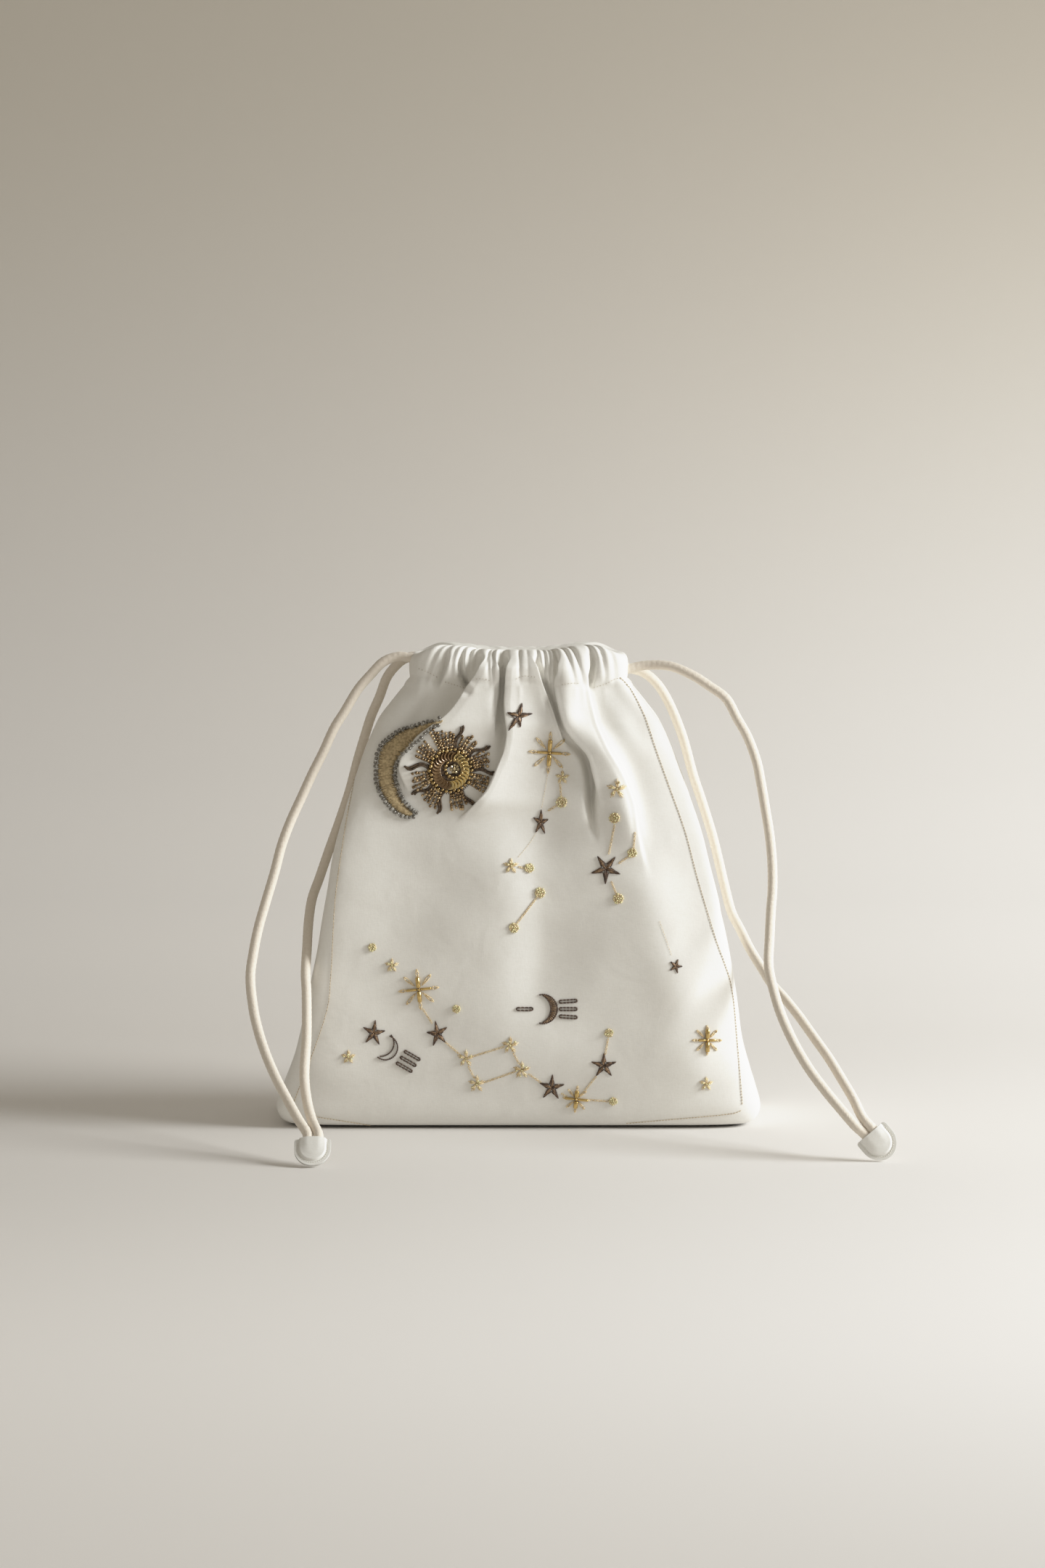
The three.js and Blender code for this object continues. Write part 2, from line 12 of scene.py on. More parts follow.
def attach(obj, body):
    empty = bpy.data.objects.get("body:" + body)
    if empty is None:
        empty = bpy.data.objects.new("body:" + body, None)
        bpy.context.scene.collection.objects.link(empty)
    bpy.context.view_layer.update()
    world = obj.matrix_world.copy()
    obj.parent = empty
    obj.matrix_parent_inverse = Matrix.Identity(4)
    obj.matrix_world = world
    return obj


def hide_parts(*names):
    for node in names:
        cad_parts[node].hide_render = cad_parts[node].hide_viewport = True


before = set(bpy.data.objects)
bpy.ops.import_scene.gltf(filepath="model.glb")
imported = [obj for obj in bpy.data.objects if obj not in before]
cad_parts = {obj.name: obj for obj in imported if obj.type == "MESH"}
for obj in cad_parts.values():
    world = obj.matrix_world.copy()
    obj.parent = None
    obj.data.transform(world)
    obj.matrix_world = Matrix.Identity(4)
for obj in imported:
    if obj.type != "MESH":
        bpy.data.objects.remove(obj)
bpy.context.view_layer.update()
MM = 0.001


# Camera: it stands a little above the pouch, square to its front, and looks slightly down.
# Places on the front are read through it in pixels of the 1440 by 2160 picture.
PICTURE_WIDTH = 1440
PICTURE_HEIGHT = 2160
SENSOR = 36
LENS = 72.25
EYE = Vector((0.0019, -1.5, 0.29))
LOOK_DOWN = math.radians(4.95)
PIXELS_PER_UNIT = LENS / SENSOR * PICTURE_HEIGHT

camera_data = bpy.data.cameras.new("camera")
camera_data.sensor_fit = "VERTICAL"
camera_data.sensor_height = SENSOR
camera_data.sensor_width = SENSOR
camera_data.lens = LENS
camera = bpy.data.objects.new("camera", camera_data)
camera.location = EYE
camera.rotation_euler = (math.pi / 2 - LOOK_DOWN, 0, 0)
bpy.context.scene.collection.objects.link(camera)
bpy.context.scene.camera = camera


def sight_line(pixel_x, pixel_y):
    """The direction from the eye through a pixel."""
    across = (pixel_x - PICTURE_WIDTH / 2) / PIXELS_PER_UNIT
    up = (PICTURE_HEIGHT / 2 - pixel_y) / PIXELS_PER_UNIT
    ahead = math.cos(LOOK_DOWN) + up * math.sin(LOOK_DOWN)
    rise = up * math.cos(LOOK_DOWN) - math.sin(LOOK_DOWN)
    return Vector((across, ahead, rise)).normalized()


# Satin: a smooth ivory weave with a soft sheen, shared by the panels, the casing and the tabs.
# A node group gives the fine weave, the faint slubs and the soft wrinkles; each material sets its own colour.
def set_inputs(tree, node, inputs):
    """Links each input to a socket, or sets it to a value."""
    for name, value in inputs.items():
        if isinstance(value, bpy.types.NodeSocket):
            tree.links.new(value, node.inputs[name])
        else:
            node.inputs[name].default_value = value


def add_node(tree, kind, inputs, **settings):
    node = tree.nodes.new(kind)
    for name, value in settings.items():
        setattr(node, name, value)
    set_inputs(tree, node, inputs)
    return node


def object_place(tree):
    return add_node(tree, "ShaderNodeTexCoord", {}).outputs["Object"]


def noise(tree, place, scale, detail=2, distortion=0):
    inputs = {"Vector": place, "Scale": scale, "Detail": detail, "Distortion": distortion}
    return add_node(tree, "ShaderNodeTexNoise", inputs).outputs["Fac"]


def bump(tree, inputs):
    return add_node(tree, "ShaderNodeBump", inputs).outputs["Normal"]


def blend(tree, share, first, second):
    """A colour between two, each given as red, green and blue or as a socket."""
    first, second = (c if isinstance(c, bpy.types.NodeSocket) else (*c, 1) for c in (first, second))
    inputs = {"Factor": share, "A": first, "B": second}
    return add_node(tree, "ShaderNodeMix", inputs, data_type="RGBA").outputs["Result"]


def new_material(name):
    material = bpy.data.materials.new(name)
    material.use_nodes = True
    return material, material.node_tree, material.node_tree.nodes["Principled BSDF"]


WARP_STRETCH = (1.0, 1.0, 0.3)
WEFT_STRETCH = (0.3, 0.3, 1.0)
SATIN_PITCH = 1500
weave = bpy.data.node_groups.new("fine_weave", "ShaderNodeTree")
weave.interface.new_socket("Thread pitch", in_out="INPUT", socket_type="NodeSocketFloat")
for name in ("Height", "Slub", "Grain", "Crease"):
    weave.interface.new_socket(name, in_out="OUTPUT", socket_type="NodeSocketFloat")
weave_pitch = weave.nodes.new("NodeGroupInput").outputs["Thread pitch"]
weave_place = object_place(weave)
weave_threads = {}
for number, stretch in enumerate((WARP_STRETCH, WEFT_STRETCH)):
    stretched = add_node(weave, "ShaderNodeMapping", {"Vector": weave_place, "Scale": stretch})
    weave_threads[number] = noise(weave, stretched.outputs["Vector"], weave_pitch)
weave_height = add_node(weave, "ShaderNodeMath", weave_threads, operation="ADD")
set_inputs(weave, weave.nodes.new("NodeGroupOutput"), {
    "Height": weave_height.outputs[0],
    "Slub": noise(weave, weave_place, 90, detail=4),
    "Grain": noise(weave, weave_place, 850),
    "Crease": noise(weave, weave_place, 34, distortion=0.8),
})


def satin_material(name, light, shade, roughness, sheen):
    material, tree, shader = new_material(name)
    cloth = add_node(tree, "ShaderNodeGroup", {"Thread pitch": SATIN_PITCH}, node_tree=weave).outputs
    mottle = add_node(tree, "ShaderNodeMath", {0: cloth["Height"], 1: -1.0}, operation="ADD")
    share = add_node(tree, "ShaderNodeMath", {0: mottle.outputs[0], 1: cloth["Slub"]}, operation="ADD")
    wrinkles = bump(tree, {"Height": cloth["Crease"], "Strength": 0.35, "Distance": 1.6 * MM})
    threads = bump(tree, {"Height": cloth["Height"], "Strength": 0.13, "Distance": 0.2 * MM,
                          "Normal": wrinkles})
    set_inputs(tree, shader, {
        "Base Color": blend(tree, share.outputs[0], shade, light), "Roughness": roughness, "Normal": threads,
        "Sheen Weight": sheen, "Sheen Roughness": 0.45, "Specular IOR Level": 0.25})
    return material


satin = satin_material("ivory_satin", (0.865, 0.85, 0.805), shade=(0.82, 0.80, 0.75), roughness=0.6,
                       sheen=0.2)


# Front and back panels: satin over a lining, gathered into the mouth at the top and rolled under at the foot.
# Each panel is half of every section below, lifted by its own folds; the two meet at the side seams.
CLOTH = 1.2 * MM
STITCH_HEIGHT = 207.5
CROWN_HEIGHT = 228.0
# height, half width, half depth, squareness of the section, sideways lean; millimetres
SECTIONS = np.array([
    (0.0, 106.0, 27.5, 9.0, 0.0),
    (1.5, 111.4, 33.0, 9.0, 0.0),
    (5.0, 114.2, 35.2, 9.5, 0.0),
    (10.0, 115.0, 36.1, 10.0, 0.0),
    (18.0, 112.6, 36.6, 10.0, 0.3),
    (28.0, 109.0, 37.3, 13.0, 0.6),
    (40.0, 105.6, 37.6, 15.0, 1.0),
    (56.0, 102.6, 37.3, 16.0, 1.6),
    (74.0, 99.6, 36.4, 16.0, 2.0),
    (92.0, 96.2, 35.2, 16.0, 2.0),
    (110.0, 92.7, 33.6, 15.0, 1.6),
    (127.0, 89.2, 31.6, 13.0, 1.0),
    (142.0, 85.6, 29.6, 11.0, 0.6),
    (156.0, 81.5, 27.6, 9.0, 0.4),
    (169.0, 77.0, 25.6, 6.3, 0.3),
    (181.0, 72.9, 24.2, 5.2, 0.2),
    (191.0, 68.6, 23.2, 4.8, 0.0),
    (199.0, 62.9, 22.5, 4.5, 0.0),
    (204.0, 58.8, 22.2, 4.5, 0.0),
    (207.5, 55.4, 22.0, 4.5, 0.0),
])
# The right of the front turns away from the ridge below the last pleat: slope, softness of the ridge,
# the heights where the turn fades out towards the foot and the casing, and the line of the ridge
FRONT_TURN = dict(slope=0.44, soft=7.0, foot=(48, 6), top=(184, 156),
                  line=[(228, 37), (209, 37), (198, 38), (178, 46), (158, 54), (142, 58), (122, 62),
                        (97, 68), (56, 76), (28, 82), (0, 86)])
# Pleats: which side lies on top, then in millimetres the rise of the upper cloth, overlap, width of the turn,
# reach of the rise, dip beside the edge with its near and far widths, the heights between which the pleat
# and its dip fade out, and the line of the edge as height and x from the crown down. Some also have
# crown_rise, the share of the rise left near the casing with the heights of that change, dip_top, where the
# dip ends upwards, or lip_top, where the lip does.
FRONT_PLEATS = [
    dict(over=1, rise=8.0, overlap=1.9, turn=3.6, reach=34, crown_rise=(0.9, 212, 200), dip=3.0, near=2.5,
         far=12, fade=(172, 156), dip_fade=(196, 168),
         line=[(228, -15), (222.7, -16), (215, -18.3), (210.8, -21.4), (206, -24.4), (200, -28.2),
               (196.5, -31), (192.5, -35), (189, -41), (183, -47.8), (175.5, -53.6), (171, -55.2),
               (163, -54.5), (157, -52), (150, -49), (120, -46), (0, -50)]),
    dict(over=1, rise=5.2, overlap=1.9, turn=3.4, reach=20, crown_rise=(0.5, 206, 178), dip=6.5, near=1.4,
         far=3.2, fade=(156, 144), dip_fade=(192, 172),
         line=[(228, -4), (222, -4.3), (214.5, -5), (208, -5.3), (201, -5.9), (194, -5.4), (186.5, -4.3),
               (180.5, -5.9), (178.5, -5.6), (168.5, -10.2), (163, -12.7), (158, -15.4), (154.5, -18.5),
               (151.5, -22.5), (148, -27), (140, -31), (100, -24), (0, -14)]),
    dict(over=-1, rise=1.8, overlap=1.6, turn=2.8, reach=6, dip=4.2, near=1.1, far=2.2, fade=(187, 179),
         dip_fade=(194, 182),
         line=[(228, 6.5), (223, 7), (218.5, 8), (211.5, 9.8), (206.8, 11.3), (204.3, 12.5), (196.5, 15.5),
               (190, 17.6), (186, 18.8), (182, 21.5), (176.7, 27), (169.7, 29.5), (161.5, 31), (150, 31),
               (137, 32), (100, 30), (0, 24)]),
    dict(over=1, rise=2.2, overlap=1.4, turn=3.0, reach=7, dip=9.5, near=1.2, far=2.4, fade=(170, 148),
         dip_fade=(160, 134), dip_top=(195, 171),
         line=[(228, 18.2), (222, 18.4), (216, 18.6), (211.5, 17.0), (206.5, 17.6), (204.3, 17.9),
               (197.3, 19.5), (189, 21.9), (184, 25.4), (178.5, 31), (176, 32.9), (170, 34.4), (162, 35.8),
               (154.5, 36.4), (137, 38), (100, 40), (0, 40)]),
    dict(over=-1, rise=0.8, overlap=0.9, turn=3.8, reach=5, dip=2.0, near=3, far=8, fade=(150, 112),
         dip_fade=(165, 120), lip_top=(210, 219),
         line=[(228, 26), (223.5, 28.4), (219, 31.8), (213, 32.2), (208, 32.9), (202.5, 33.8),
               (194.6, 35.7), (191, 36.4), (178, 42), (168, 47.9), (158, 52), (153, 53.6), (142, 55),
               (132, 57.2), (122, 59.6), (108, 62.6), (97, 66), (0, 74)]),
    dict(over=1, rise=1.4, overlap=0.3, turn=2.6, reach=6, dip=4.0, near=1, far=2.5, fade=(212, 204),
         dip_fade=(213, 206), line=[(228, -30.5), (222, -31.6), (215, -33.7), (208, -37)]),
    dict(over=-1, rise=1.2, overlap=0.2, turn=2.4, reach=6, dip=5.0, near=1, far=1.8, fade=(209, 201),
         dip_fade=(210, 203), line=[(228, -28), (222, -27.8), (216, -28.4), (208, -25.6), (202, -25)]),
    dict(over=1, rise=1.0, overlap=0.2, turn=2.4, reach=4, dip=0, near=1, far=1, fade=(210, 204),
         dip_fade=(220, 210), line=[(228, -25.6), (222, -25.2), (213, -24.2), (208, -23.2)]),
    dict(over=-1, rise=0.5, overlap=1.1, turn=2.6, reach=5, dip=4.5, near=1, far=2.2, fade=(194, 180),
         dip_fade=(196, 184),
         line=[(228, -11), (223, -10.4), (219.5, -9.4), (216, -8.9), (211, -9.4), (205, -9.4), (197, -11),
               (186, -11)]),
    dict(over=1, rise=1.4, overlap=0.3, turn=2.6, reach=6, dip=4.0, near=1, far=1.8, fade=(212, 204),
         dip_fade=(213, 206), line=[(228, 36.4), (222, 36.2), (214, 35.6), (208, 34.8)]),
]
# Columns of the front keep to the first five pleats from foot to crown: how many lie before each of them
GUIDE_COLUMNS = (88, 56, 46, 26, 36)
FRONT_GUIDES = [(pleat["line"], count) for pleat, count in zip(FRONT_PLEATS, GUIDE_COLUMNS)]
BACK_PLEATS = [
    dict(over=-1, rise=2.6, overlap=1.8, turn=4.6, reach=14, dip=3.5, near=3, far=12, fade=(166, 146),
         dip_fade=(188, 162), line=[(228, -31), (208, -31), (196, -34), (178, -42), (160, -49), (146, -54)]),
    dict(over=1, rise=2.6, overlap=1.8, turn=4.6, reach=14, dip=5.0, near=3, far=10, fade=(156, 132),
         dip_fade=(180, 150), line=[(228, -6), (208, -6), (190, -7), (170, -11), (150, -17), (132, -24)]),
    dict(over=1, rise=2.6, overlap=1.8, turn=4.6, reach=14, dip=3.5, near=3, far=12, fade=(170, 148),
         dip_fade=(190, 164), line=[(228, 23), (208, 23), (196, 26), (180, 33), (164, 39), (148, 44)]),
]
# Soft swells and hollows: lift of the cloth, half width across, its line and the heights where it fades
FRONT_SWELLS = [
    dict(lift=4.0, width=6.5, right=7.5, top=(226, 210), foot=(194, 184),
         line=[(226, 23.5), (209, 23.8), (194, 24), (189, 27.5), (184, 32)]),
    dict(lift=4.6, width=9, right=6.5, top=(194, 184), foot=(152, 122),
         line=[(194, 26), (189, 29.5), (184, 34), (178, 39.5), (173, 42.5), (165, 45.5), (150, 49),
               (126, 53)]),
    dict(lift=2.4, width=4, right=13, top=(232, 228), foot=(207, 199),
         line=[(228, -44), (214, -45), (200, -47)]),
    dict(lift=1.6, width=3.5, right=5, top=(214, 205), foot=(194, 180),
         line=[(208, -39), (200, -40.5), (192, -43.5), (180, -50)]),
    dict(lift=-3.0, width=24, right=12, top=(194, 170), foot=(142, 120),
         line=[(194, 14), (170, 15), (149, 11), (120, 9)]),
    dict(lift=-3.2, width=13, right=24, top=(158, 132), foot=(72, 36),
         line=[(158, 10), (149, 9), (121, 10), (87, 11), (60, 9), (36, 4)]),
    dict(lift=2.0, width=14, top=(136, 112), foot=(70, 28),
         line=[(136, 54), (122, 58), (108, 62), (97, 65), (77, 70), (56, 74), (28, 80)]),
    dict(lift=-1.2, width=4.5, top=(214, 206), foot=(196, 180), line=[(208, -38), (196, -45), (180, -53)]),
    dict(lift=-1.2, width=5, top=(214, 206), foot=(192, 172), line=[(208, 44), (192, 55), (172, 64)]),
    dict(lift=-0.9, width=5, top=(106, 98), foot=(92, 78), line=[(106, 94), (98, 88), (88, 78), (78, 70)]),
    dict(lift=-2.6, width=30, top=(168, 140), foot=(50, 10), line=[(168, -52), (90, -56), (10, -60)]),
]
BACK_SWELLS = [
    dict(lift=1.6, width=10, top=(214, 200), foot=(165, 135), line=[(208, 8), (180, 12), (135, 16)]),
    dict(lift=-2.4, width=16, top=(160, 130), foot=(70, 36),
         line=[(160, -20), (120, -14), (80, -12), (36, -10)]),
    dict(lift=2.2, width=16, top=(150, 120), foot=(70, 30), line=[(150, 40), (100, 46), (30, 52)]),
    dict(lift=-1.2, width=5, top=(214, 206), foot=(192, 172), line=[(208, 42), (192, 52), (172, 60)]),
]


def run_along(points):
    """How far along a line each of its points lies."""
    return np.concatenate([[0], np.cumsum(np.linalg.norm(np.diff(points, axis=0), axis=1))])


def points_at(line, travelled, runs):
    return np.stack([np.interp(runs, travelled, column) for column in line.T], axis=-1)


CURVE_STEPS = 24


def smooth_curve(points, count):
    """Even points on a Catmull-Rom curve through the rows of points, spaced by their first three columns."""
    points = np.asarray(points, float)
    padded = np.vstack([2 * points[0] - points[1], points, 2 * points[-1] - points[-2]])
    t = np.linspace(0, 1, CURVE_STEPS, endpoint=False)[:, None]
    fine = []
    for a, b, c, d in zip(padded, padded[1:], padded[2:], padded[3:]):
        cubic = (2 * a - 5 * b + 4 * c - d) * t**2 + (3 * b - a - 3 * c + d) * t**3
        fine.append(0.5 * (2 * b + (c - a) * t + cubic))
    fine = np.vstack(fine + [points[-1:]])
    travelled = run_along(fine[:, :3])
    return points_at(fine, travelled, np.linspace(0, travelled[-1], count))


def fade(value, edges):
    """Goes from 0 at the second edge to 1 at the first, smoothly."""
    t = np.clip((value - edges[1]) / (edges[0] - edges[1]), 0, 1)
    return t * t * (3 - 2 * t)


CORNER_ROUND = 3
CORNER_REACH = np.linspace(-4, 4, 9)
CORNER_WEIGHTS = np.exp(-(CORNER_REACH / CORNER_ROUND) ** 2)


def line_at(line, height):
    """The x of a fold's line at each height, rounded at its corners, and its slope."""
    heights, places = np.array(line[::-1], float).T
    corner = list(zip(CORNER_REACH, CORNER_WEIGHTS))
    rounded = []
    for up in (0, 1):
        total = sum(weight * np.interp(height + reach + up, heights, places) for reach, weight in corner)
        rounded.append(total / CORNER_WEIGHTS.sum())
    return rounded[0], rounded[1] - rounded[0]


# Heights over which the lips of the pleats run out into the gathers of the crown and the dips narrow,
# the rise of a pleat without crown_rise, how much wider a fading turn gets, and how soon the rise settles
LIP_TOP = (218, 226)
DIP_NARROWS = (214, 204)
FULL_RISE = (1, 212, 200)
TURN_WIDENS = 1.2
SETTLING = 4


def fold_cloth(pleats, swells, x, z):
    """Outward lift, sideways shift and upward shift of the cloth at x, z in millimetres."""
    lift = np.zeros_like(x)
    shift_x = np.zeros_like(x)
    shift_z = np.zeros_like(x)
    for pleat in pleats:
        at, slope = line_at(pleat["line"], z)
        lean = 1 / np.sqrt(1 + slope**2)
        off = pleat["over"] * (x - at) * lean
        strength = fade(z, pleat["fade"]) * fade(z, pleat.get("lip_top", LIP_TOP))
        turn = pleat["turn"] * (1 + TURN_WIDENS * (1 - strength))
        over = np.clip(off / turn, -0.25, 0.25)
        behind = np.maximum(0, off - turn / 4) / pleat["reach"]
        settle = np.log1p(np.exp(SETTLING - SETTLING * behind)) / math.log1p(math.exp(SETTLING))
        crown_share, *crown_edges = pleat.get("crown_rise", FULL_RISE)
        rise = pleat["rise"] * (1 - (1 - crown_share) * fade(z, crown_edges))
        lift += rise * strength * (0.5 + 0.5 * np.sin(2 * np.pi * over)) * settle
        beside = off + turn / 4 + 0.6 * pleat["near"]
        far = pleat["far"] * (1 - 0.75 * fade(z, DIP_NARROWS)) + 0.6
        wide = np.where(beside < 0, np.minimum(far, pleat["far"]), pleat["near"])
        depth = pleat["dip"] * fade(z, pleat["dip_fade"]) * (0.4 + 0.6 * fade(z, LIP_TOP))
        if "dip_top" in pleat:
            depth = depth * fade(z, pleat["dip_top"][::-1])
        lift -= depth * np.exp(-(beside / wide) ** 2)
        tuck = -pleat["overlap"] * strength * np.sin(2 * np.pi * np.clip(off / turn, -0.5, 0.5))
        shift_x += pleat["over"] * tuck * lean
        shift_z -= pleat["over"] * tuck * lean * slope
    for swell in swells:
        at, slope = line_at(swell["line"], z)
        off = (x - at) / np.sqrt(1 + slope**2)
        along = fade(z, swell["foot"]) * fade(z, swell["top"][::-1])
        wide = np.where(off < 0, swell["width"], swell.get("right", swell["width"]))
        lift += swell["lift"] * along * np.exp(-(off / wide) ** 2)
    return lift, shift_x, shift_z


# Creases of the gathers: x at the hem and the crown, depth at the hem and the crown, half width; millimetres
FRONT_GATHERS = [
    (-47.5, -41.0, 0.0, 0.5, 1.4), (-44.0, -36.5, 0.2, 2.4, 1.3), (-40.0, -33.5, 0.3, 1.6, 1.0),
    (-31.0, -29.4, 0.0, 2.0, 0.8), (-23.2, -22.4, 0.0, 4.6, 1.0), (-20.4, -19.4, 0.0, 3.0, 0.8),
    (-13.4, -14.0, 0.0, 3.2, 0.7), (-11.6, -12.0, 0.0, 3.0, 0.6), (-7.2, -7.0, 1.5, 3.0, 1.0),
    (0.6, 0.4, -0.6, 2.8, 0.6), (4.8, 4.0, 0.0, 0.8, 0.8), (12.9, 12.2, 4.0, 4.6, 0.8),
    (15.0, 14.6, 1.4, 4.2, 0.7), (17.2, 17.0, 2.4, 5.4, 1.0), (26.8, 21.8, -0.4, 3.6, 0.8),
    (30.4, 25.4, -0.4, 3.4, 0.8), (34.4, 34.0, 1.2, 2.0, 1.1), (41.0, 38.2, -0.3, 3.4, 0.9),
    (45.5, 43.0, 0.2, 1.8, 1.2),
]
BACK_GATHERS = [
    (-40.0, -38.0, 0.8, 2.4, 2.0), (-31.0, -31.0, 3.0, 3.4, 1.5), (-24.0, -22.5, 0.6, 2.6, 1.3),
    (-17.0, -16.0, 1.8, 2.8, 1.3), (-6.0, -6.0, 3.4, 3.6, 1.4), (2.0, 3.0, 0.4, 2.4, 1.2),
    (9.0, 9.5, 2.4, 3.0, 1.3), (16.0, 15.0, 0.5, 2.6, 1.2), (23.0, 23.0, 3.2, 3.4, 1.5),
    (31.0, 30.0, 0.6, 2.6, 1.3), (39.0, 37.5, 0.8, 2.2, 1.9),
]


def up_casing(z):
    """Share of the way from the stitch line up to the crown."""
    return np.clip((z - STITCH_HEIGHT) / (CROWN_HEIGHT - STITCH_HEIGHT), 0, 1)


def gather_depth(gathers, x, z):
    share = up_casing(z)
    depth = np.zeros_like(x)
    for hem_x, crown_x, hem_depth, crown_depth, width in gathers:
        off = np.sqrt((x - hem_x - share * (crown_x - hem_x)) ** 2 + 0.35**2)
        depth += (hem_depth + share**0.7 * (crown_depth - hem_depth)) * np.exp(-off / width)
    return depth


OUTLINE_STEPS = 1201
GUIDE_CROWDING = 0.5


def half_outline(section, side):
    """Half of a section from the left seam to the right: x, y and the share of the way along the cloth."""
    half_width, half_depth, squareness = section
    angle = np.pi - np.pi * np.linspace(0, 1, OUTLINE_STEPS)
    power = 2 / squareness
    x = half_width * np.sign(np.cos(angle)) * np.abs(np.cos(angle)) ** power
    y = side * half_depth * np.abs(np.sin(angle)) ** power
    travelled = run_along(np.column_stack([x, y]))
    return x, y, travelled / travelled[-1]


def column_shares(section, z, guides, columns):
    """Shares of the way along a row for its columns, which crowd beside the guide lines and keep to them."""
    x, _, share = half_outline(section, -1)
    stops = [0.0] + [float(np.interp(line_at(line, z)[0], x, share)) for line, _ in guides] + [1.0]
    counts = [count for _, count in guides]
    counts.append(columns - 1 - sum(counts))
    crowd = GUIDE_CROWDING if guides else 0.0
    parts = []
    for start, end, count in zip(stops, stops[1:], counts):
        t = np.arange(count) / count
        parts.append(start + (end - start) * (t - crowd * np.sin(2 * np.pi * t) / (2 * np.pi)))
    return np.concatenate(parts + [[1.0]])


def ripple(x, z, seed):
    """Slow unevenness of stuffed cloth, a few tenths of a millimetre."""
    draw = random.Random(seed)
    total = np.zeros_like(x)
    for _ in range(10):
        turn = draw.uniform(0, math.tau)
        length = draw.uniform(26, 70)
        wave = (x * math.cos(turn) + z * math.sin(turn)) * math.tau / length
        total += draw.uniform(0.08, 0.2) * length / 50 * np.sin(wave + draw.uniform(0, math.tau))
    return total


# From the stitch line up: height and share of the way in from the outer face to the mouth
CROWN = np.array([(207.5, 0.0), (210.0, -0.02), (214.0, -0.05), (218.0, -0.06), (222.0, -0.06),
                  (225.0, -0.03), (226.9, 0.05), (227.7, 0.19), (227.3, 0.42), (225.4, 0.72)])
CROWN_ROWS = 32
# The way from the outer face to the mouth counts as so many millimetres where rows are spaced
WAY_IN = 20
MOUTH = (39.0, 7.5, 3.0)
CASING_DRAW = 4.2
CROWN_DIP = 2.4
CROWN_DIP_HALF = 27
CROWN_ENDS = 4.5
CROWN_END_WIDTH = 13
# Gathers press no deeper than the cord inside, and the hem's stitches leave a shallow groove
# along a wavy line of x and z
CORD_DEPTH = 6.2
CORD_EDGES = (214, 208)
HEM_GROOVE = 0.35
HEM_HALF = 1.3
HEM_LINE = ((-48, -42, -35, -26, -21, -9, 0, 10, 20, 30, 36, 42, 48),
            (215, 212, 209, 206.5, 211, 210, 212, 209.5, 208.5, 209, 206.5, 209, 212))
# The side seams draw the cloth in by a groove, and the sides sink a little between the corners; millimetres
SEAM_GROOVE = 0.5
SEAM_HALF = 1.6
SIDE_PINCH = 3.4
PINCH_HALF = 10.0
# Heights where the gathers fade out below the stitch line, where the cloth starts to ripple above the foot,
# where the creases pull the crown down, and where the sides sink
GATHER_FADE = (STITCH_HEIGHT + 4, STITCH_HEIGHT - 14)
RIPPLE_FADE = (24, 6)
CREASE_PULL = (227, 216)
PINCH_FOOT = (165, 60)
PINCH_TOP = (200, 216)
TURN_LIMIT = 0.6


def casing_section(z):
    """The section of the casing, which draws in above the hem."""
    _, half_width, half_depth, squareness, _ = SECTIONS[-1]
    return half_width - CASING_DRAW * fade(z, (213.5, STITCH_HEIGHT)), half_depth, squareness


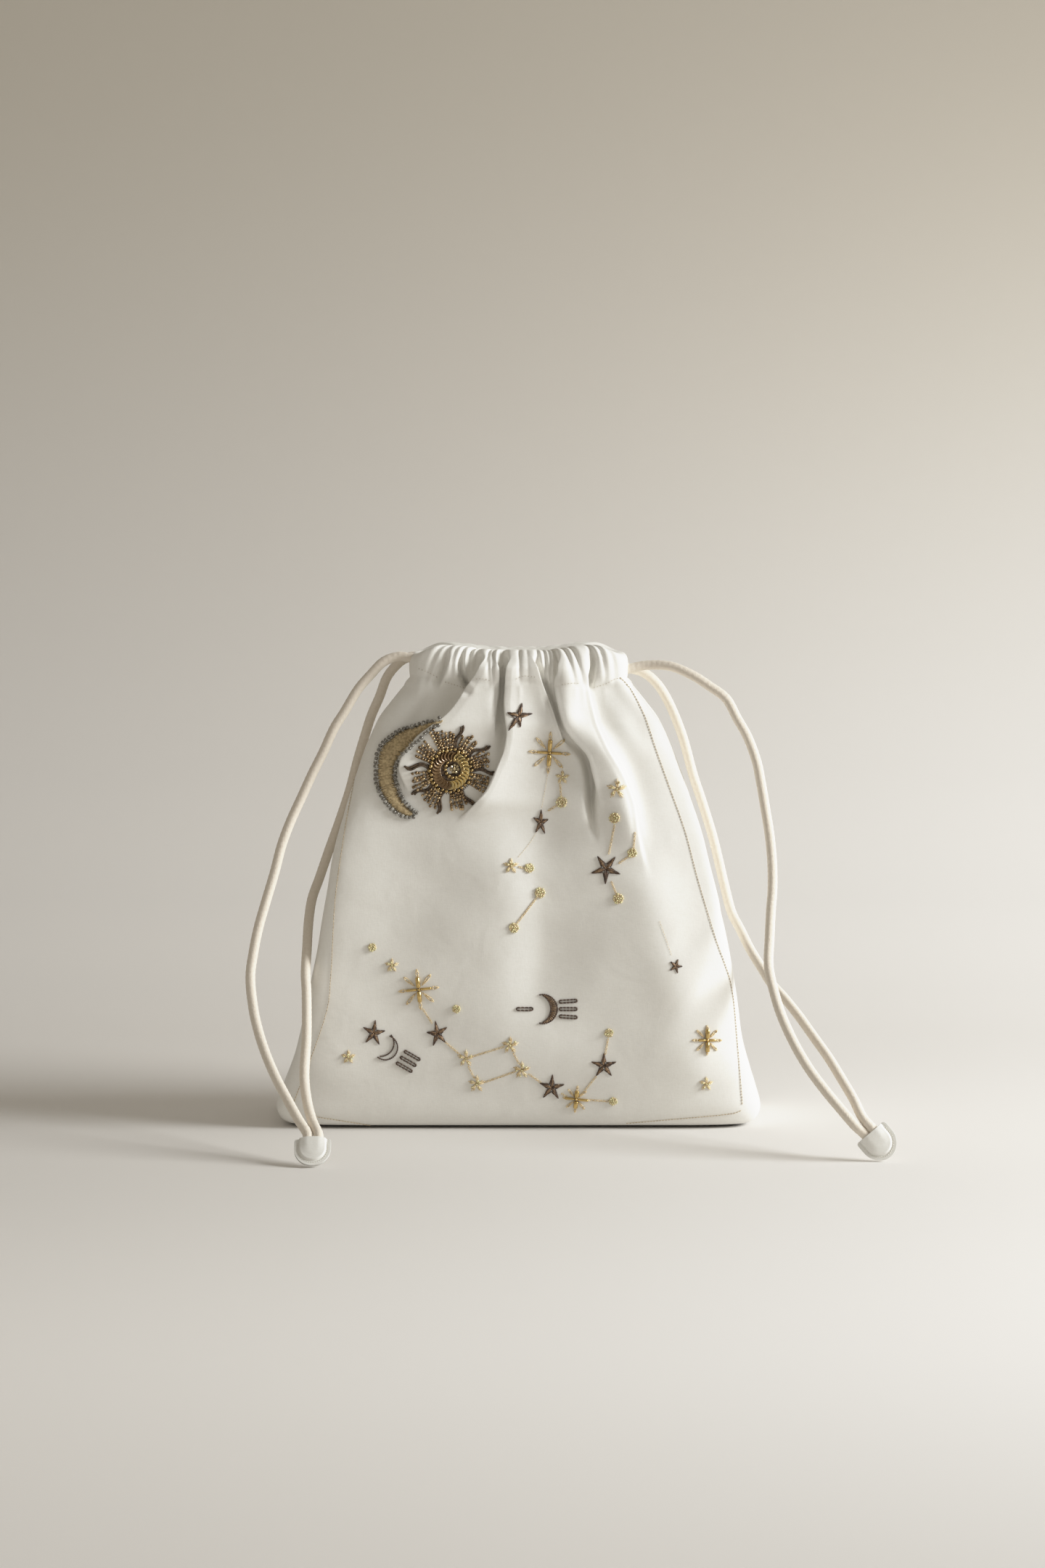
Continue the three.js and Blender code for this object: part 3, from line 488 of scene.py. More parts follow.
def cloth_row(section, z, inward, side, columns, folds, seed):
    """One row of cloth in millimetres: its points and the x it had before folding."""
    pleats, swells, gathers, turn, guides = folds
    half_width, half_depth, _ = section
    shares = column_shares(section, z, guides, columns)
    outline_x, outline_y, outline_share = half_outline(section, side)
    x = np.interp(shares, outline_share, outline_x)
    y = np.interp(shares, outline_share, outline_y)
    height = np.full_like(x, z)
    if turn:
        at, _ = line_at(turn["line"], height)
        away = turn["slope"] * turn["soft"] * np.log1p(np.exp((x - at) / turn["soft"]))
        away = away * fade(z, turn["foot"]) * fade(z, turn["top"][::-1])
        y = y * (1 - TURN_LIMIT * (1 - np.exp(-away / (TURN_LIMIT * half_depth))))
    along_x = np.gradient(x)
    along_y = np.gradient(y)
    size = np.hypot(along_x, along_y)
    out_x = side * -along_y / size
    out_y = side * along_x / size
    lift, shift_x, shift_z = fold_cloth(pleats, swells, x, height)
    creases = gather_depth(gathers, x, height) * fade(z, GATHER_FADE)
    lift = lift - creases + ripple(x, height, seed) * fade(z, RIPPLE_FADE)
    lift = lift - HEM_GROOVE * np.exp(-((z - np.interp(x, *HEM_LINE)) / HEM_HALF) ** 2)
    held = np.where(lift < 0, CORD_DEPTH * np.tanh(lift / CORD_DEPTH), lift)
    lift = lift + fade(z, CORD_EDGES) * (held - lift)
    face_on = fade(np.abs(y) / half_depth, (0.8, 0.15)) * (1 - 0.75 * fade(inward, (0.8, 0.1)))
    share = up_casing(z)
    drop = CROWN_DIP * np.exp(-((x / CROWN_DIP_HALF) ** 4))
    drop = drop + CROWN_ENDS * fade(np.abs(x), (half_width, half_width - CROWN_END_WIDTH))
    points = np.zeros((columns, 3))
    points[:, 0] = x + face_on * (shift_x + lift * out_x)
    points[:, 1] = y + face_on * lift * out_y
    pull = 0.3 * fade(z, CREASE_PULL) * creases
    points[:, 2] = z + face_on * ((1 - share) * shift_z - pull) - share * drop
    tuck = SEAM_GROOVE * np.exp(-((y / SEAM_HALF) ** 2))
    tuck = tuck + SIDE_PINCH * np.exp(-((y / PINCH_HALF) ** 2)) * fade(z, PINCH_FOOT) * fade(z, PINCH_TOP)
    points[:, 0] -= tuck * (1 - np.clip(inward, 0, 1)) * out_x
    if inward:
        mouth_x, mouth_y, mouth_share = half_outline(MOUTH, side)
        points[:, 0] += inward * (np.interp(shares, mouth_share, mouth_x) - x)
        points[:, 1] += inward * (np.interp(shares, mouth_share, mouth_y) - y)
    return points, x


PROFILE_STEPS = 1200
# Rows of a panel up to the stitch line: first height, last height and how many
PANEL_ROWS = ((0, 12, 12), (14, 118, 36), (119, STITCH_HEIGHT, 82))


def panel_grid(side, columns, folds, seed):
    """Points of a panel from the foot over the crown in metres, with the x and z of each before folding."""
    fine = smooth_curve(SECTIONS, PROFILE_STEPS)
    heights = np.concatenate([np.linspace(*rows) for rows in PANEL_ROWS])
    profile = points_at(fine, fine[:, 0], heights)
    rows = [(section, z, 0.0, lean) for z, *section, lean in profile]
    for z, inward in smooth_curve(CROWN * (1, WAY_IN), CROWN_ROWS)[1:]:
        rows.append((casing_section(z), z, inward / WAY_IN, 0.0))
    grid = np.zeros((len(rows), columns, 3))
    flat = np.zeros((len(rows), columns, 2))
    for row, (section, z, inward, lean) in enumerate(rows):
        grid[row], flat[row, :, 0] = cloth_row(section, z, inward, side, columns, folds, seed)
        grid[row, :, 0] += lean
        flat[row, :, 1] = z
    return grid * MM, flat


def grid_faces(rows, columns, closed=False):
    r, c = np.meshgrid(np.arange(rows - 1), np.arange(columns if closed else columns - 1), indexing="ij")
    right = (c + 1) % columns
    corners = [r * columns + c, r * columns + right, (r + 1) * columns + right, (r + 1) * columns + c]
    return np.stack(corners, axis=-1).reshape(-1, 4)


def add_mesh(name, points, faces, material, smooth=True):
    mesh = bpy.data.meshes.new(name)
    mesh.from_pydata(points.reshape(-1, 3).tolist(), [], [list(face) for face in faces])
    mesh.polygons.foreach_set("use_smooth", [smooth] * len(mesh.polygons))
    mesh.materials.append(material)
    piece = bpy.data.objects.new(name, mesh)
    bpy.context.scene.collection.objects.link(piece)
    return piece


def thicken(piece, thickness):
    lining = piece.modifiers.new("lining", "SOLIDIFY")
    lining.thickness = thickness
    lining.offset = -1


EYELETS = [(-50.5, -8.9, 220.9), (-50.5, 8.9, 220.7), (50.5, -8.9, 215.5), (50.5, 8.9, 215.3)]
EYELET_RADIUS = 2.3 * MM


def away_from_eyelets(points, faces):
    """The faces that leave the cord eyelets open."""
    middles = points.reshape(-1, 3)[faces].mean(axis=1)
    gaps = [np.linalg.norm(middles - np.array(eyelet) * MM, axis=1) for eyelet in EYELETS]
    return faces[np.min(gaps, axis=0) > EYELET_RADIUS].tolist()


FRONT_COLUMNS = 300
FRONT_SEED = 3
front_folds = (FRONT_PLEATS, FRONT_SWELLS, FRONT_GATHERS, FRONT_TURN, FRONT_GUIDES)
front_grid, front_flat = panel_grid(-1, FRONT_COLUMNS, front_folds, FRONT_SEED)
front_faces = grid_faces(len(front_grid), FRONT_COLUMNS)
front = add_mesh("front_panel", front_grid, away_from_eyelets(front_grid, front_faces), satin)
thicken(front, CLOTH)
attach(front, "root")
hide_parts("pouch_front")

BACK_COLUMNS = 170
BACK_SEED = 8
back_folds = (BACK_PLEATS, BACK_SWELLS, BACK_GATHERS, None, [])
back_grid, _ = panel_grid(1, BACK_COLUMNS, back_folds, BACK_SEED)
back_faces = grid_faces(len(back_grid), BACK_COLUMNS)[:, ::-1]
back = add_mesh("back_panel", back_grid, away_from_eyelets(back_grid, back_faces), satin)
thicken(back, CLOTH)
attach(back, "root")
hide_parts("pouch_back")


# Base: the flat bottom panel that the pouch stands on, sewn in behind the rolled foot of the walls.
# It keeps its place and shape from the frame and takes the same satin.
base = bpy.data.objects["pouch_base"]
base.data.materials.clear()
base.data.materials.append(satin)


# Casing: the top of both panels turned down inside the mouth and stitched, so that the cords run in a tunnel.
# This is the turned-in cloth, from just behind the crown to the stitch line: height, share of the way in.
CASING_CLOTH = 0.8 * MM
FACING = np.array([(224.4, 0.74), (223.4, 0.86), (221.0, 0.96), (216.0, 1.0), (211.0, 0.97), (208.6, 0.86),
                   (207.6, 0.7)])
FACING_ROWS = 30
facing_grid = []
for z, inward in smooth_curve(FACING * (1, WAY_IN), FACING_ROWS):
    section = casing_section(z)
    front_row, _ = cloth_row(section, z, inward / WAY_IN, -1, FRONT_COLUMNS, front_folds, FRONT_SEED)
    back_row, _ = cloth_row(section, z, inward / WAY_IN, 1, BACK_COLUMNS, back_folds, BACK_SEED)
    facing_grid.append(np.vstack([front_row, back_row[-2:0:-1]]) * MM)
facing_faces = grid_faces(FACING_ROWS, len(facing_grid[0]), closed=True).tolist()
casing = add_mesh("casing_facing", np.array(facing_grid), facing_faces, satin)
thicken(casing, CASING_CLOTH)
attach(casing, "root")
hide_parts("casing")


# Cords: two soft braided cotton drawcords of 4.5 mm; each leaves the casing by two eyelets and hangs down
# one side. The strands come forward along the floor and end together in a tab. Routes in millimetres,
# from eyelet to tab.
CORD_RADIUS = 2.25 * MM
CORD_SIDES = 20
CORD_STEP = 0.7 * MM
CORD_INSIDE = (5.0, -0.9, 0.0)
BRAID_PITCH = 5.2 * MM
BRAID_DEPTH = 0.09 * MM
CORD_PITCH = 1900
STRANDS = {
    "cord_left_outer": [
        (-51.2, -8.9, 220.9), (-57, -8.3, 221.5), (-64, -9.4, 219), (-70, -12, 213), (-76, -15, 206),
        (-82, -18, 196), (-87, -20, 188), (-92, -22, 177), (-97, -25, 167), (-102, -28, 156),
        (-107, -31, 145), (-111, -34, 134), (-114, -38, 122), (-118, -43, 108), (-121, -47, 97),
        (-123, -52, 86), (-124, -58, 75), (-122, -66, 62), (-119, -73, 52), (-115, -81, 43),
        (-110, -89, 34), (-104, -97, 25), (-99, -104, 18), (-94.4, -110, 12.2), (-94.3, -114.3, 8.1)],
    "cord_left_inner": [
        (-51.5, 8.9, 220.7), (-57, 8.4, 218), (-63, 10, 211), (-67, 13, 201), (-71, 16, 192),
        (-74, 18, 183), (-78, 20, 170), (-82, 20, 155), (-87, 18, 140), (-92, 14, 126), (-96, 7, 114),
        (-99, -2, 105), (-100, -13, 95), (-100, -24, 85), (-100, -35, 74), (-99, -44, 65), (-98, -60, 48),
        (-98, -76, 33), (-96, -90, 24), (-93, -101, 17), (-89.6, -110, 12.2), (-89.5, -114.3, 8.1)],
    "cord_right_outer": [
        (51.2, -8.9, 215.5), (61, -8.6, 217.4), (72, -11, 217), (82, -14, 213), (90, -16, 208),
        (98, -18, 202), (103, -20, 193), (108, -22, 184), (112, -24, 173), (114, -26, 163), (116, -28, 151),
        (118, -30, 138), (119, -33, 126), (119, -36, 114), (118, -40, 104), (117, -46, 92), (116, -55, 80),
        (118, -63, 69), (121, -71, 59), (126, -80, 48), (132, -88, 38), (139, -95, 29), (146, -101, 21),
        (151.2, -104.8, 15.3), (155.75, -105.72, 11.24), (158.95, -106.72, 7.54)],
    "cord_right_inner": [
        (51.3, 8.9, 215.3), (60, 8.6, 213), (67, 10, 207), (73, 12, 197), (79, 12, 182), (84, 12, 164),
        (88, 11, 152), (93, 9, 136), (96, 7, 124), (99, 4, 111), (102, -2, 99), (106, -9, 91),
        (110, -18, 83), (115, -28, 75), (119, -38, 69), (124, -47, 64), (130, -56, 57), (136, -66, 49),
        (142, -77, 41), (147, -86, 33), (151.5, -95, 25.5), (154.8, -102.2, 18.6), (158.77, -105.34, 14.19),
        (161.97, -106.34, 10.49)],
}


def unit(vectors):
    return vectors / (np.linalg.norm(vectors, axis=-1, keepdims=True) + 1e-12)


def circle(count, side, up):
    """Points round a circle of radius 1, between two directions."""
    around = np.arange(count) * math.tau / count
    return np.cos(around)[:, None] * side + np.sin(around)[:, None] * up


def braided_rings(path):
    """Rings along the path with the crossing ridges of a round braid."""
    tangents = unit(np.gradient(path, axis=0))
    side = np.cross(tangents[0], (0, 0, 1.0))
    around = np.arange(CORD_SIDES) * math.tau / CORD_SIDES
    rings = []
    for place, tangent, run in zip(path, tangents, run_along(path)):
        side = unit(side - tangent * side.dot(tangent))
        turn = math.tau * run / BRAID_PITCH
        ridge = np.cos(2 * around + turn) * np.cos(2 * around - turn) + 0.4 * np.cos(6 * around + 3 * turn)
        radii = CORD_RADIUS + BRAID_DEPTH * ridge
        rings.append(place + radii[:, None] * circle(CORD_SIDES, side, np.cross(tangent, side)))
    return np.array(rings)


def closed_tube(rings, start, end):
    """Points and faces of a tube from its rings, closed by a fan on a middle point at each end."""
    count, sides = rings.shape[:2]
    points = np.vstack([rings.reshape(-1, 3), start, end])
    faces = grid_faces(count, sides, closed=True).tolist()
    last = (count - 1) * sides
    for k in range(sides):
        n = (k + 1) % sides
        faces += [[n, k, len(points) - 2], [last + k, last + n, len(points) - 1]]
    return points, faces


def join(name, parts, material, smooth=True):
    """One piece from many small meshes, riding on the pouch."""
    points, faces, start = [], [], 0
    for part_points, part_faces in parts:
        points.append(part_points)
        faces.extend([[i + start for i in face] for face in part_faces])
        start += len(part_points)
    piece = add_mesh(name, np.vstack(points), faces, material, smooth)
    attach(piece, "root")
    return piece


cord_material, tree, shader = new_material("braided_cotton")
fibre = add_node(tree, "ShaderNodeGroup", {"Thread pitch": CORD_PITCH}, node_tree=weave).outputs
set_inputs(tree, shader, {
    "Base Color": blend(tree, fibre["Grain"], (0.74, 0.655, 0.55), (0.84, 0.775, 0.68)), "Roughness": 0.85,
    "Normal": bump(tree, {"Height": fibre["Height"], "Strength": 0.5, "Distance": 0.3 * MM}),
    "Sheen Weight": 0.35, "Sheen Roughness": 0.5, "Specular IOR Level": 0.2})
for name in ("cord_run_left", "cord_run_right"):
    bpy.data.objects[name].data.materials.clear()
    bpy.data.objects[name].data.materials.append(cord_material)

strand_paths = {}
for name, route in STRANDS.items():
    start = np.array(route[0], float)
    inside = start - np.sign(start) * CORD_INSIDE
    route = np.vstack([inside, route]) * MM
    length = run_along(smooth_curve(route, 200))[-1]
    path = smooth_curve(route, int(length / CORD_STEP))
    strand_paths[name] = path
    braid = closed_tube(braided_rings(path), path[:1], path[-1:])
    join(name + "_braid", [braid], cord_material)
    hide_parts(name)


# Tabs: a folded piece of white satin over each pair of cord ends, straight at the top, round at the bottom.
# It is stitched near its edge down the sides and round the bowl, and swells a little over the cords. In mm.
TAB_WIDTH = 16.4
TAB_LENGTH = 14.0
TAB_SHOULDER = 5.0
TAB_CORNER = 1.2
TAB_RIM = 0.55
TAB_SEAM = 2.0
TAB_PAD = 0.85
TAB_CORDS = 1.0
TAB_POINTS = 168
TAB_EDGE = 0.35
TAB_INSETS = (0.0, 0.12, 0.5, 1.0, 1.4, 1.6, 1.75, 1.9, 2.05, 2.2, 2.35, 2.5, 2.65, 3.0, 3.6)
TAB_MIDDLE = np.array([[0.0, 6.8]])
TAB_STITCH_INSET = 1.45
TAB_STITCH_TOP = 1.7
TAB_STITCH_POINTS = 120
TABS = {
    "tab_left": dict(top=(-91.9, -112.4, 10.2), down=(0.02, -0.72, -0.69), face=(0, -0.69, 0.72),
                     cords=("cord_left_outer", "cord_left_inner")),
    "tab_right": dict(top=(158.1, -105.8, 12.2), down=(0.64, -0.2, -0.74), face=(-0.08, -0.97, 0.2),
                      cords=("cord_right_outer", "cord_right_inner")),
}
tab_satin = satin_material("white_satin", (0.84, 0.83, 0.79), shade=(0.79, 0.775, 0.73), roughness=0.62,
                           sheen=0.1)
thread_white, tree, shader = new_material("white_thread")
set_inputs(tree, shader, {"Base Color": (0.80, 0.78, 0.71, 1), "Roughness": 0.6})


def tube(points, radii, ups, sides=6):
    """A closed thread through the points, round in section; ups keep its sections square to the cloth."""
    points = np.asarray(points, float)
    along = unit(np.gradient(points, axis=0))
    side = unit(np.cross(along, ups))
    up = np.cross(side, along)
    rings = [place + r * circle(sides, s, u) for place, r, s, u in zip(points, radii, side, up)]
    faces = grid_faces(len(points), sides, closed=True).tolist()
    last = (len(points) - 1) * sides
    faces.append(list(range(sides))[::-1])
    faces.append([last + k for k in range(sides)])
    return np.vstack(rings), faces


def tab_outline(inset, count):
    """The D of a tab, set in from its edge: across and down in millimetres, evenly spaced."""
    half = TAB_WIDTH / 2 - inset
    angle = np.linspace(0, np.pi, 40)
    bowl = np.column_stack([half * np.cos(angle),
                            TAB_SHOULDER + (TAB_LENGTH - inset - TAB_SHOULDER) * np.sin(angle)])
    left = np.array([(0, 1), (0.3, 0.3), (1, 0)]) * TAB_CORNER + (-half, inset)
    right = left[::-1] * (-1, 1)
    loop = np.vstack([bowl, left, right, bowl[:1]])
    travelled = run_along(loop)
    return points_at(loop, travelled, np.linspace(0, travelled[-1], count, endpoint=False))


def tab_height(flat):
    """Half the thickness of a tab: thin at the rim, sunk at the seam, padded, and fuller over the cords."""
    below = np.maximum(flat[:, 1] - TAB_SHOULDER, 0) / (TAB_LENGTH - TAB_SHOULDER)
    from_rim = TAB_WIDTH / 2 * (1 - np.hypot(flat[:, 0] / (TAB_WIDTH / 2), below))
    pocket = TAB_PAD + 0.4 * fade(from_rim, (6.0, TAB_SEAM))
    pocket += TAB_CORDS * np.exp(-(np.abs(flat[:, 0]) / 5.2) ** 4) * fade(flat[:, 1], (0.5, 10.5))
    groove = 0.2 * np.exp(-((from_rim - TAB_SEAM + 0.3) / 0.25) ** 2)
    return TAB_RIM - groove + pocket * fade(from_rim, (TAB_SEAM + 0.6, TAB_SEAM))


def tab_place(top, axes, flat, height):
    return (np.array(top) + np.column_stack([flat, height]) @ axes) * MM


outlines = [tab_outline(inset, TAB_POINTS) for inset in TAB_INSETS]
outlines += [TAB_MIDDLE + shrink * (outlines[-1] - TAB_MIDDLE) for shrink in (0.8, 0.6, 0.4, 0.2)]
tab_edge = tab_outline(TAB_EDGE, TAB_POINTS)
stitch_line = tab_outline(TAB_STITCH_INSET, TAB_STITCH_POINTS)
for name, tab in TABS.items():
    down = unit(np.array(tab["down"], float))
    across = unit(np.cross(down, tab["face"]))
    axes = np.array([across, down, np.cross(across, down)])
    over = [tab_place(tab["top"], axes, flat, tab_height(flat)) for flat in outlines + [TAB_MIDDLE]]
    under = [tab_place(tab["top"], axes, flat, -tab_height(flat)) for flat in outlines + [TAB_MIDDLE]]
    edge = tab_place(tab["top"], axes, tab_edge, np.zeros(TAB_POINTS))
    shell = closed_tube(np.array(under[-2::-1] + [edge] + over[:-1]), under[-1], over[-1])
    tab_piece = join(name + "_satin", [shell], tab_satin)
    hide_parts(name)
    stitches = []
    for k in range(0, TAB_STITCH_POINTS, 3):
        flat = stitch_line[k:k + 3]
        if flat[:, 1].min() < TAB_STITCH_TOP:
            continue
        places = tab_place(tab["top"], axes, flat, tab_height(flat) + (-0.15, 0.12, -0.15))
        stitches.append(tube(places, np.array([0.12, 0.2, 0.12]) * MM, np.tile(axes[2], (3, 1))))
    tab_stitches = join(name + "_stitches", stitches, thread_white)
    for cord in tab["cords"]:
        path = strand_paths[cord]


# Stitching: places on the front are given in picture pixels and laid on the cloth along the line of sight.
# Each stitch is a short rounded thread that dips into the cloth at its ends. Radii and rises in millimetres.
CLOTH_JUMP = 2.5 * MM
FOLD_JUMP = 0.6 * MM
STITCH_LIFT = 0.25
cloth_tree = BVHTree.FromPolygons([Vector(p) for p in front_grid.reshape(-1, 3)], front_faces.tolist())


def on_cloth(pixel_x, pixel_y):
    """The place, the normal and the face of the front that a pixel shows, or None."""
    place, normal, face, _ = cloth_tree.ray_cast(EYE, sight_line(pixel_x, pixel_y))
    if place is None:
        return None
    if normal.y > 0:
        normal = -normal
    return np.array(place), np.array(normal), face


def stitch(start, end, radius, rise, steps):
    """A stitch between two pixels; None where the cloth jumps."""
    hits = [on_cloth(*pixel) for pixel in np.linspace(start, end, steps)]
    if any(hit is None for hit in hits):
        return None
    places = np.array([hit[0] for hit in hits])
    normals = np.array([hit[1] for hit in hits])
    if np.abs(np.diff(places[:, 1])).max() > CLOTH_JUMP:
        return None
    arch = np.sin(np.pi * np.linspace(0, 1, steps))
    places = places + normals * ((STITCH_LIFT + rise * arch) * MM)[:, None]
    return tube(places, radius * MM * (0.45 + 0.55 * np.sqrt(arch)), normals)


def stitched(pairs, radius, rise, steps=5):
    made = [stitch(start, end, radius, rise, steps) for start, end in pairs]
    return [part for part in made if part is not None]


def before_fold(start, end):
    """The farthest pixel towards the end that lies on the same layer of cloth as the start."""
    route = np.linspace(start, end, 25)
    depths = np.array([on_cloth(x, y)[0][1] for x, y in route])
    jumps = np.flatnonzero(np.abs(np.diff(depths)) > FOLD_JUMP)
    return route[max(1, jumps[0] - 1)] if len(jumps) else end


def dashes(route, length, gap):
    """Cuts a route of pixels into stitches of a length with a gap between them."""
    line = smooth_curve(route, 400)
    travelled = run_along(line)
    starts = np.arange(0, travelled[-1] - length, length + gap)
    return list(zip(points_at(line, travelled, starts), points_at(line, travelled, starts + length)))


def thread_material(name, dark, light, roughness, metallic):
    material, tree, shader = new_material(name)
    fibres = {"Value": noise(tree, object_place(tree), 900, detail=3), "From Min": 0.35, "From Max": 0.65}
    share = add_node(tree, "ShaderNodeMapRange", fibres).outputs["Result"]
    set_inputs(tree, shader, {
        "Base Color": blend(tree, share, dark, light), "Roughness": roughness, "Metallic": metallic})
    return material


BORDER = [
    [(548, 955), (524, 979), (507, 1012), (497, 1034), (485, 1093), (475, 1146), (462, 1238), (456, 1342),
     (450, 1393), (427, 1462), (412, 1500), (402, 1526)],
    [(434, 1538), (519, 1551)],
    [(863, 1547), (900, 1544), (1000, 1535), (1023, 1529)],
    [(854, 933), (869, 950), (888, 986), (903, 1030), (920, 1078), (944, 1146), (962, 1214), (985, 1290),
     (1007, 1357), (1016, 1440), (1023, 1523)],
]
border_thread = thread_material("beige_thread", (0.41, 0.32, 0.20), (0.66, 0.55, 0.39), 0.5, 0.0)
border_pairs = [pair for route in BORDER for pair in dashes(route, length=3.6, gap=0.5)]
join("border_stitch", stitched(border_pairs, 0.19, rise=0.08), border_thread)

CASING_STITCH = [
    [(577, 921), (592, 927), (604, 934)], [(613, 939), (626, 943), (642, 948)],
    [(656, 935), (665, 935), (676, 938)], [(711, 935), (722, 931), (739, 933)],
    [(774, 943), (787, 941), (801, 941)], [(818, 947), (834, 942), (848, 935), (860, 933)],
]
casing_thread = thread_material("fawn_thread", (0.38, 0.32, 0.24), (0.68, 0.62, 0.53), 0.6, 0.0)
casing_pairs = [pair for route in CASING_STITCH for pair in dashes(route, length=1.9, gap=2.4)]
join("casing_stitch", stitched(casing_pairs, 0.13, rise=0.0), casing_thread)


# Moon: a crescent of khaki silk, laid in long stitches side by side across it.
# Cut glass seed beads and small stones are sewn along both rims.
MOON_OUTER = [
    (570, 1125), (559, 1126), (546, 1120), (536, 1111), (527, 1099), (521, 1086), (518, 1070), (518, 1054),
    (521, 1036), (528, 1024), (539, 1014), (553, 1005), (568, 1001), (583, 996), (600, 993), (616, 988),
]
MOON_INNER = [
    (574, 1119), (568, 1115), (561, 1108), (553, 1096), (549, 1084), (545, 1073), (545, 1062), (547, 1052),
    (553, 1042), (561, 1034), (571, 1024), (580, 1017), (588, 1008), (597, 1002), (612, 995),
]
MOON_STITCHES = 150
MOON_RIM = 5.0
MOON_BEADS = 5.8
MOON_STONES = 8.2
moon_silk = thread_material("khaki_silk", (0.36, 0.265, 0.14), (0.66, 0.52, 0.30), 0.42, 0.0)
draw = random.Random(21)
moon_pairs = []
outer_rim, inner_rim = (smooth_curve(rim, MOON_STITCHES)[4:-4] for rim in (MOON_OUTER, MOON_INNER))
for outer, inner in zip(outer_rim, inner_rim):
    width = np.linalg.norm(inner - outer)
    if width < 1.2 * MOON_RIM:
        continue
    inset = (inner - outer) / width * min(MOON_RIM * 0.6, 0.3 * width)
    sway = (0, draw.uniform(-1.2, 1.2))
    start = outer + inset + sway
    moon_pairs.append((start, before_fold(start, inner - inset - sway)))
moon = join("moon_silk", stitched(moon_pairs, 0.42, rise=0.9, steps=7), moon_silk)
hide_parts("moon_applique")


def ring_faces(count, sides):
    """Faces of a ring made of closed loops, each with the same number of sides."""
    faces = []
    for i in range(count):
        for k in range(sides):
            corners = ((i, k), (i, k + 1), (i + 1, k + 1), (i + 1, k))
            faces.append([loop % count * sides + side % sides for loop, side in corners])
    return faces


BEAD_AROUND = 12
BEAD_THROUGH = 8


def bead(place, normal, along, radius):
    """A seed bead: a rounded ring whose hole runs along the thread, resting on the cloth."""
    along = unit(along - normal * along.dot(normal))
    through = np.arange(BEAD_THROUGH) * math.tau / BEAD_THROUGH
    spread = radius * (0.62 + 0.38 * np.cos(through))
    depth = radius * 0.72 * np.sin(through)
    ring = circle(BEAD_AROUND, np.cross(normal, along), normal)
    points = spread[None, :, None] * ring[:, None, :] + depth[None, :, None] * along
    return (points + place + normal * radius * 0.9).reshape(-1, 3), ring_faces(BEAD_AROUND, BEAD_THROUGH)


def bead_row(route, spacing, radius, seed):
    """Beads along a route of pixels, a spacing apart, each a little out of line."""
    draw = random.Random(seed)
    made = []
    for (ax, ay), (bx, by) in dashes(route, spacing, 0):
        hit = on_cloth(ax + draw.uniform(-0.6, 0.6), ay + draw.uniform(-0.6, 0.6))
        ahead = on_cloth(bx, by)
        if hit is None or ahead is None or np.linalg.norm(ahead[0] - hit[0]) > 6 * MM:
            continue
        along = ahead[0] - hit[0] + np.array([draw.uniform(-1, 1) for _ in range(3)]) * 0.4 * MM
        made.append(bead(hit[0], hit[1], along, radius * MM * draw.uniform(0.88, 1.1)))
    return made


def bead_material(name, colour, metallic, roughness):
    material, tree, shader = new_material(name)
    mottle = noise(tree, object_place(tree), 420)
    rough = {"Value": mottle, "To Min": 0.6 * roughness, "To Max": 1.5 * roughness}
    set_inputs(tree, shader, {
        "Base Color": blend(tree, mottle, [0.45 * c for c in colour], [min(1, 1.6 * c) for c in colour]),
        "Roughness": add_node(tree, "ShaderNodeMapRange", rough).outputs["Result"], "Metallic": metallic,
        "Coat Weight": 0.6, "Coat Roughness": 0.08})
    return material


CRYSTAL_LEVELS = ((0.6, 0.0), (1.0, 0.55), (0.55, 1.1))


def crystal(place, normal, radius, turn):
    """A small cut stone with a six-sided table, sitting on the cloth: radius and height of its levels."""
    side = unit(np.cross(normal, (math.cos(turn), 0.3, math.sin(turn))))
    ring = circle(6, side, np.cross(side, normal))
    levels = [place + radius * (spread * ring + height * normal) for spread, height in CRYSTAL_LEVELS]
    return np.vstack(levels), [[12 + k for k in range(6)]] + grid_faces(3, 6, closed=True).tolist()


steel_bead = bead_material("steel_bead", (0.22, 0.205, 0.18), 0.7, 0.18)
silver_bead = bead_material("silver_bead", (0.56, 0.55, 0.51), 0.5, 0.14)
rim_beads = bead_row(MOON_OUTER, MOON_BEADS, 0.95, seed=5) + bead_row(MOON_INNER, MOON_BEADS, 0.95, seed=6)
draw = random.Random(22)
stones = []
for (x, y), _ in dashes(MOON_OUTER, MOON_STONES, 0) + dashes(MOON_INNER, MOON_STONES, 0):
    place, normal, _ = on_cloth(x + draw.uniform(-1.5, 1.5), y + draw.uniform(-1.5, 1.5))
    size = draw.uniform(0.6, 0.95) * MM
    stones.append(crystal(place + normal * 0.7 * MM, normal, size, draw.uniform(0, 6)))
join("moon_beads", rim_beads, steel_bead)
join("moon_stones", stones, silver_bead, smooth=False)


# Sun: a knot of bright stones ringed by gold beads, a ring of lapped sequins, a gold bead rim and beaded
# rays. The sequins are gold on the lit side and a darker copper copy, painted shade, on the other.
# Dark purl threads wave out between the bundles of champagne and bronze beads.
# Radii are in pixels and directions in degrees clockwise from upright.
SUN = (620.5, 1061.0)
SUN_KNOT = (625.3, 1058.5)
SUN_INNER_RING = 12.3
SUN_INNER_BEADS = 15
SUN_SEQUINS = 20.2
SEQUIN_COUNT = 28
SEQUIN_RADIUS = 2.15 * MM
# Directions between which the sequins take the lit gold copy; the rest take the copper copy, painted shade
LIT_SEQUIN_SIDE = (25, 185)
SUN_RIM = 28.7
RIM_BEADS = 32
SUN_RAYS = (31.0, 58.0)
BUNDLE_ANGLES = [352, 33, 71, 112, 166, 215, 253, 305]
PURL_ANGLES = [13, 54, 91, 149, 198, 234, 277]
BEADED_RAY = 332


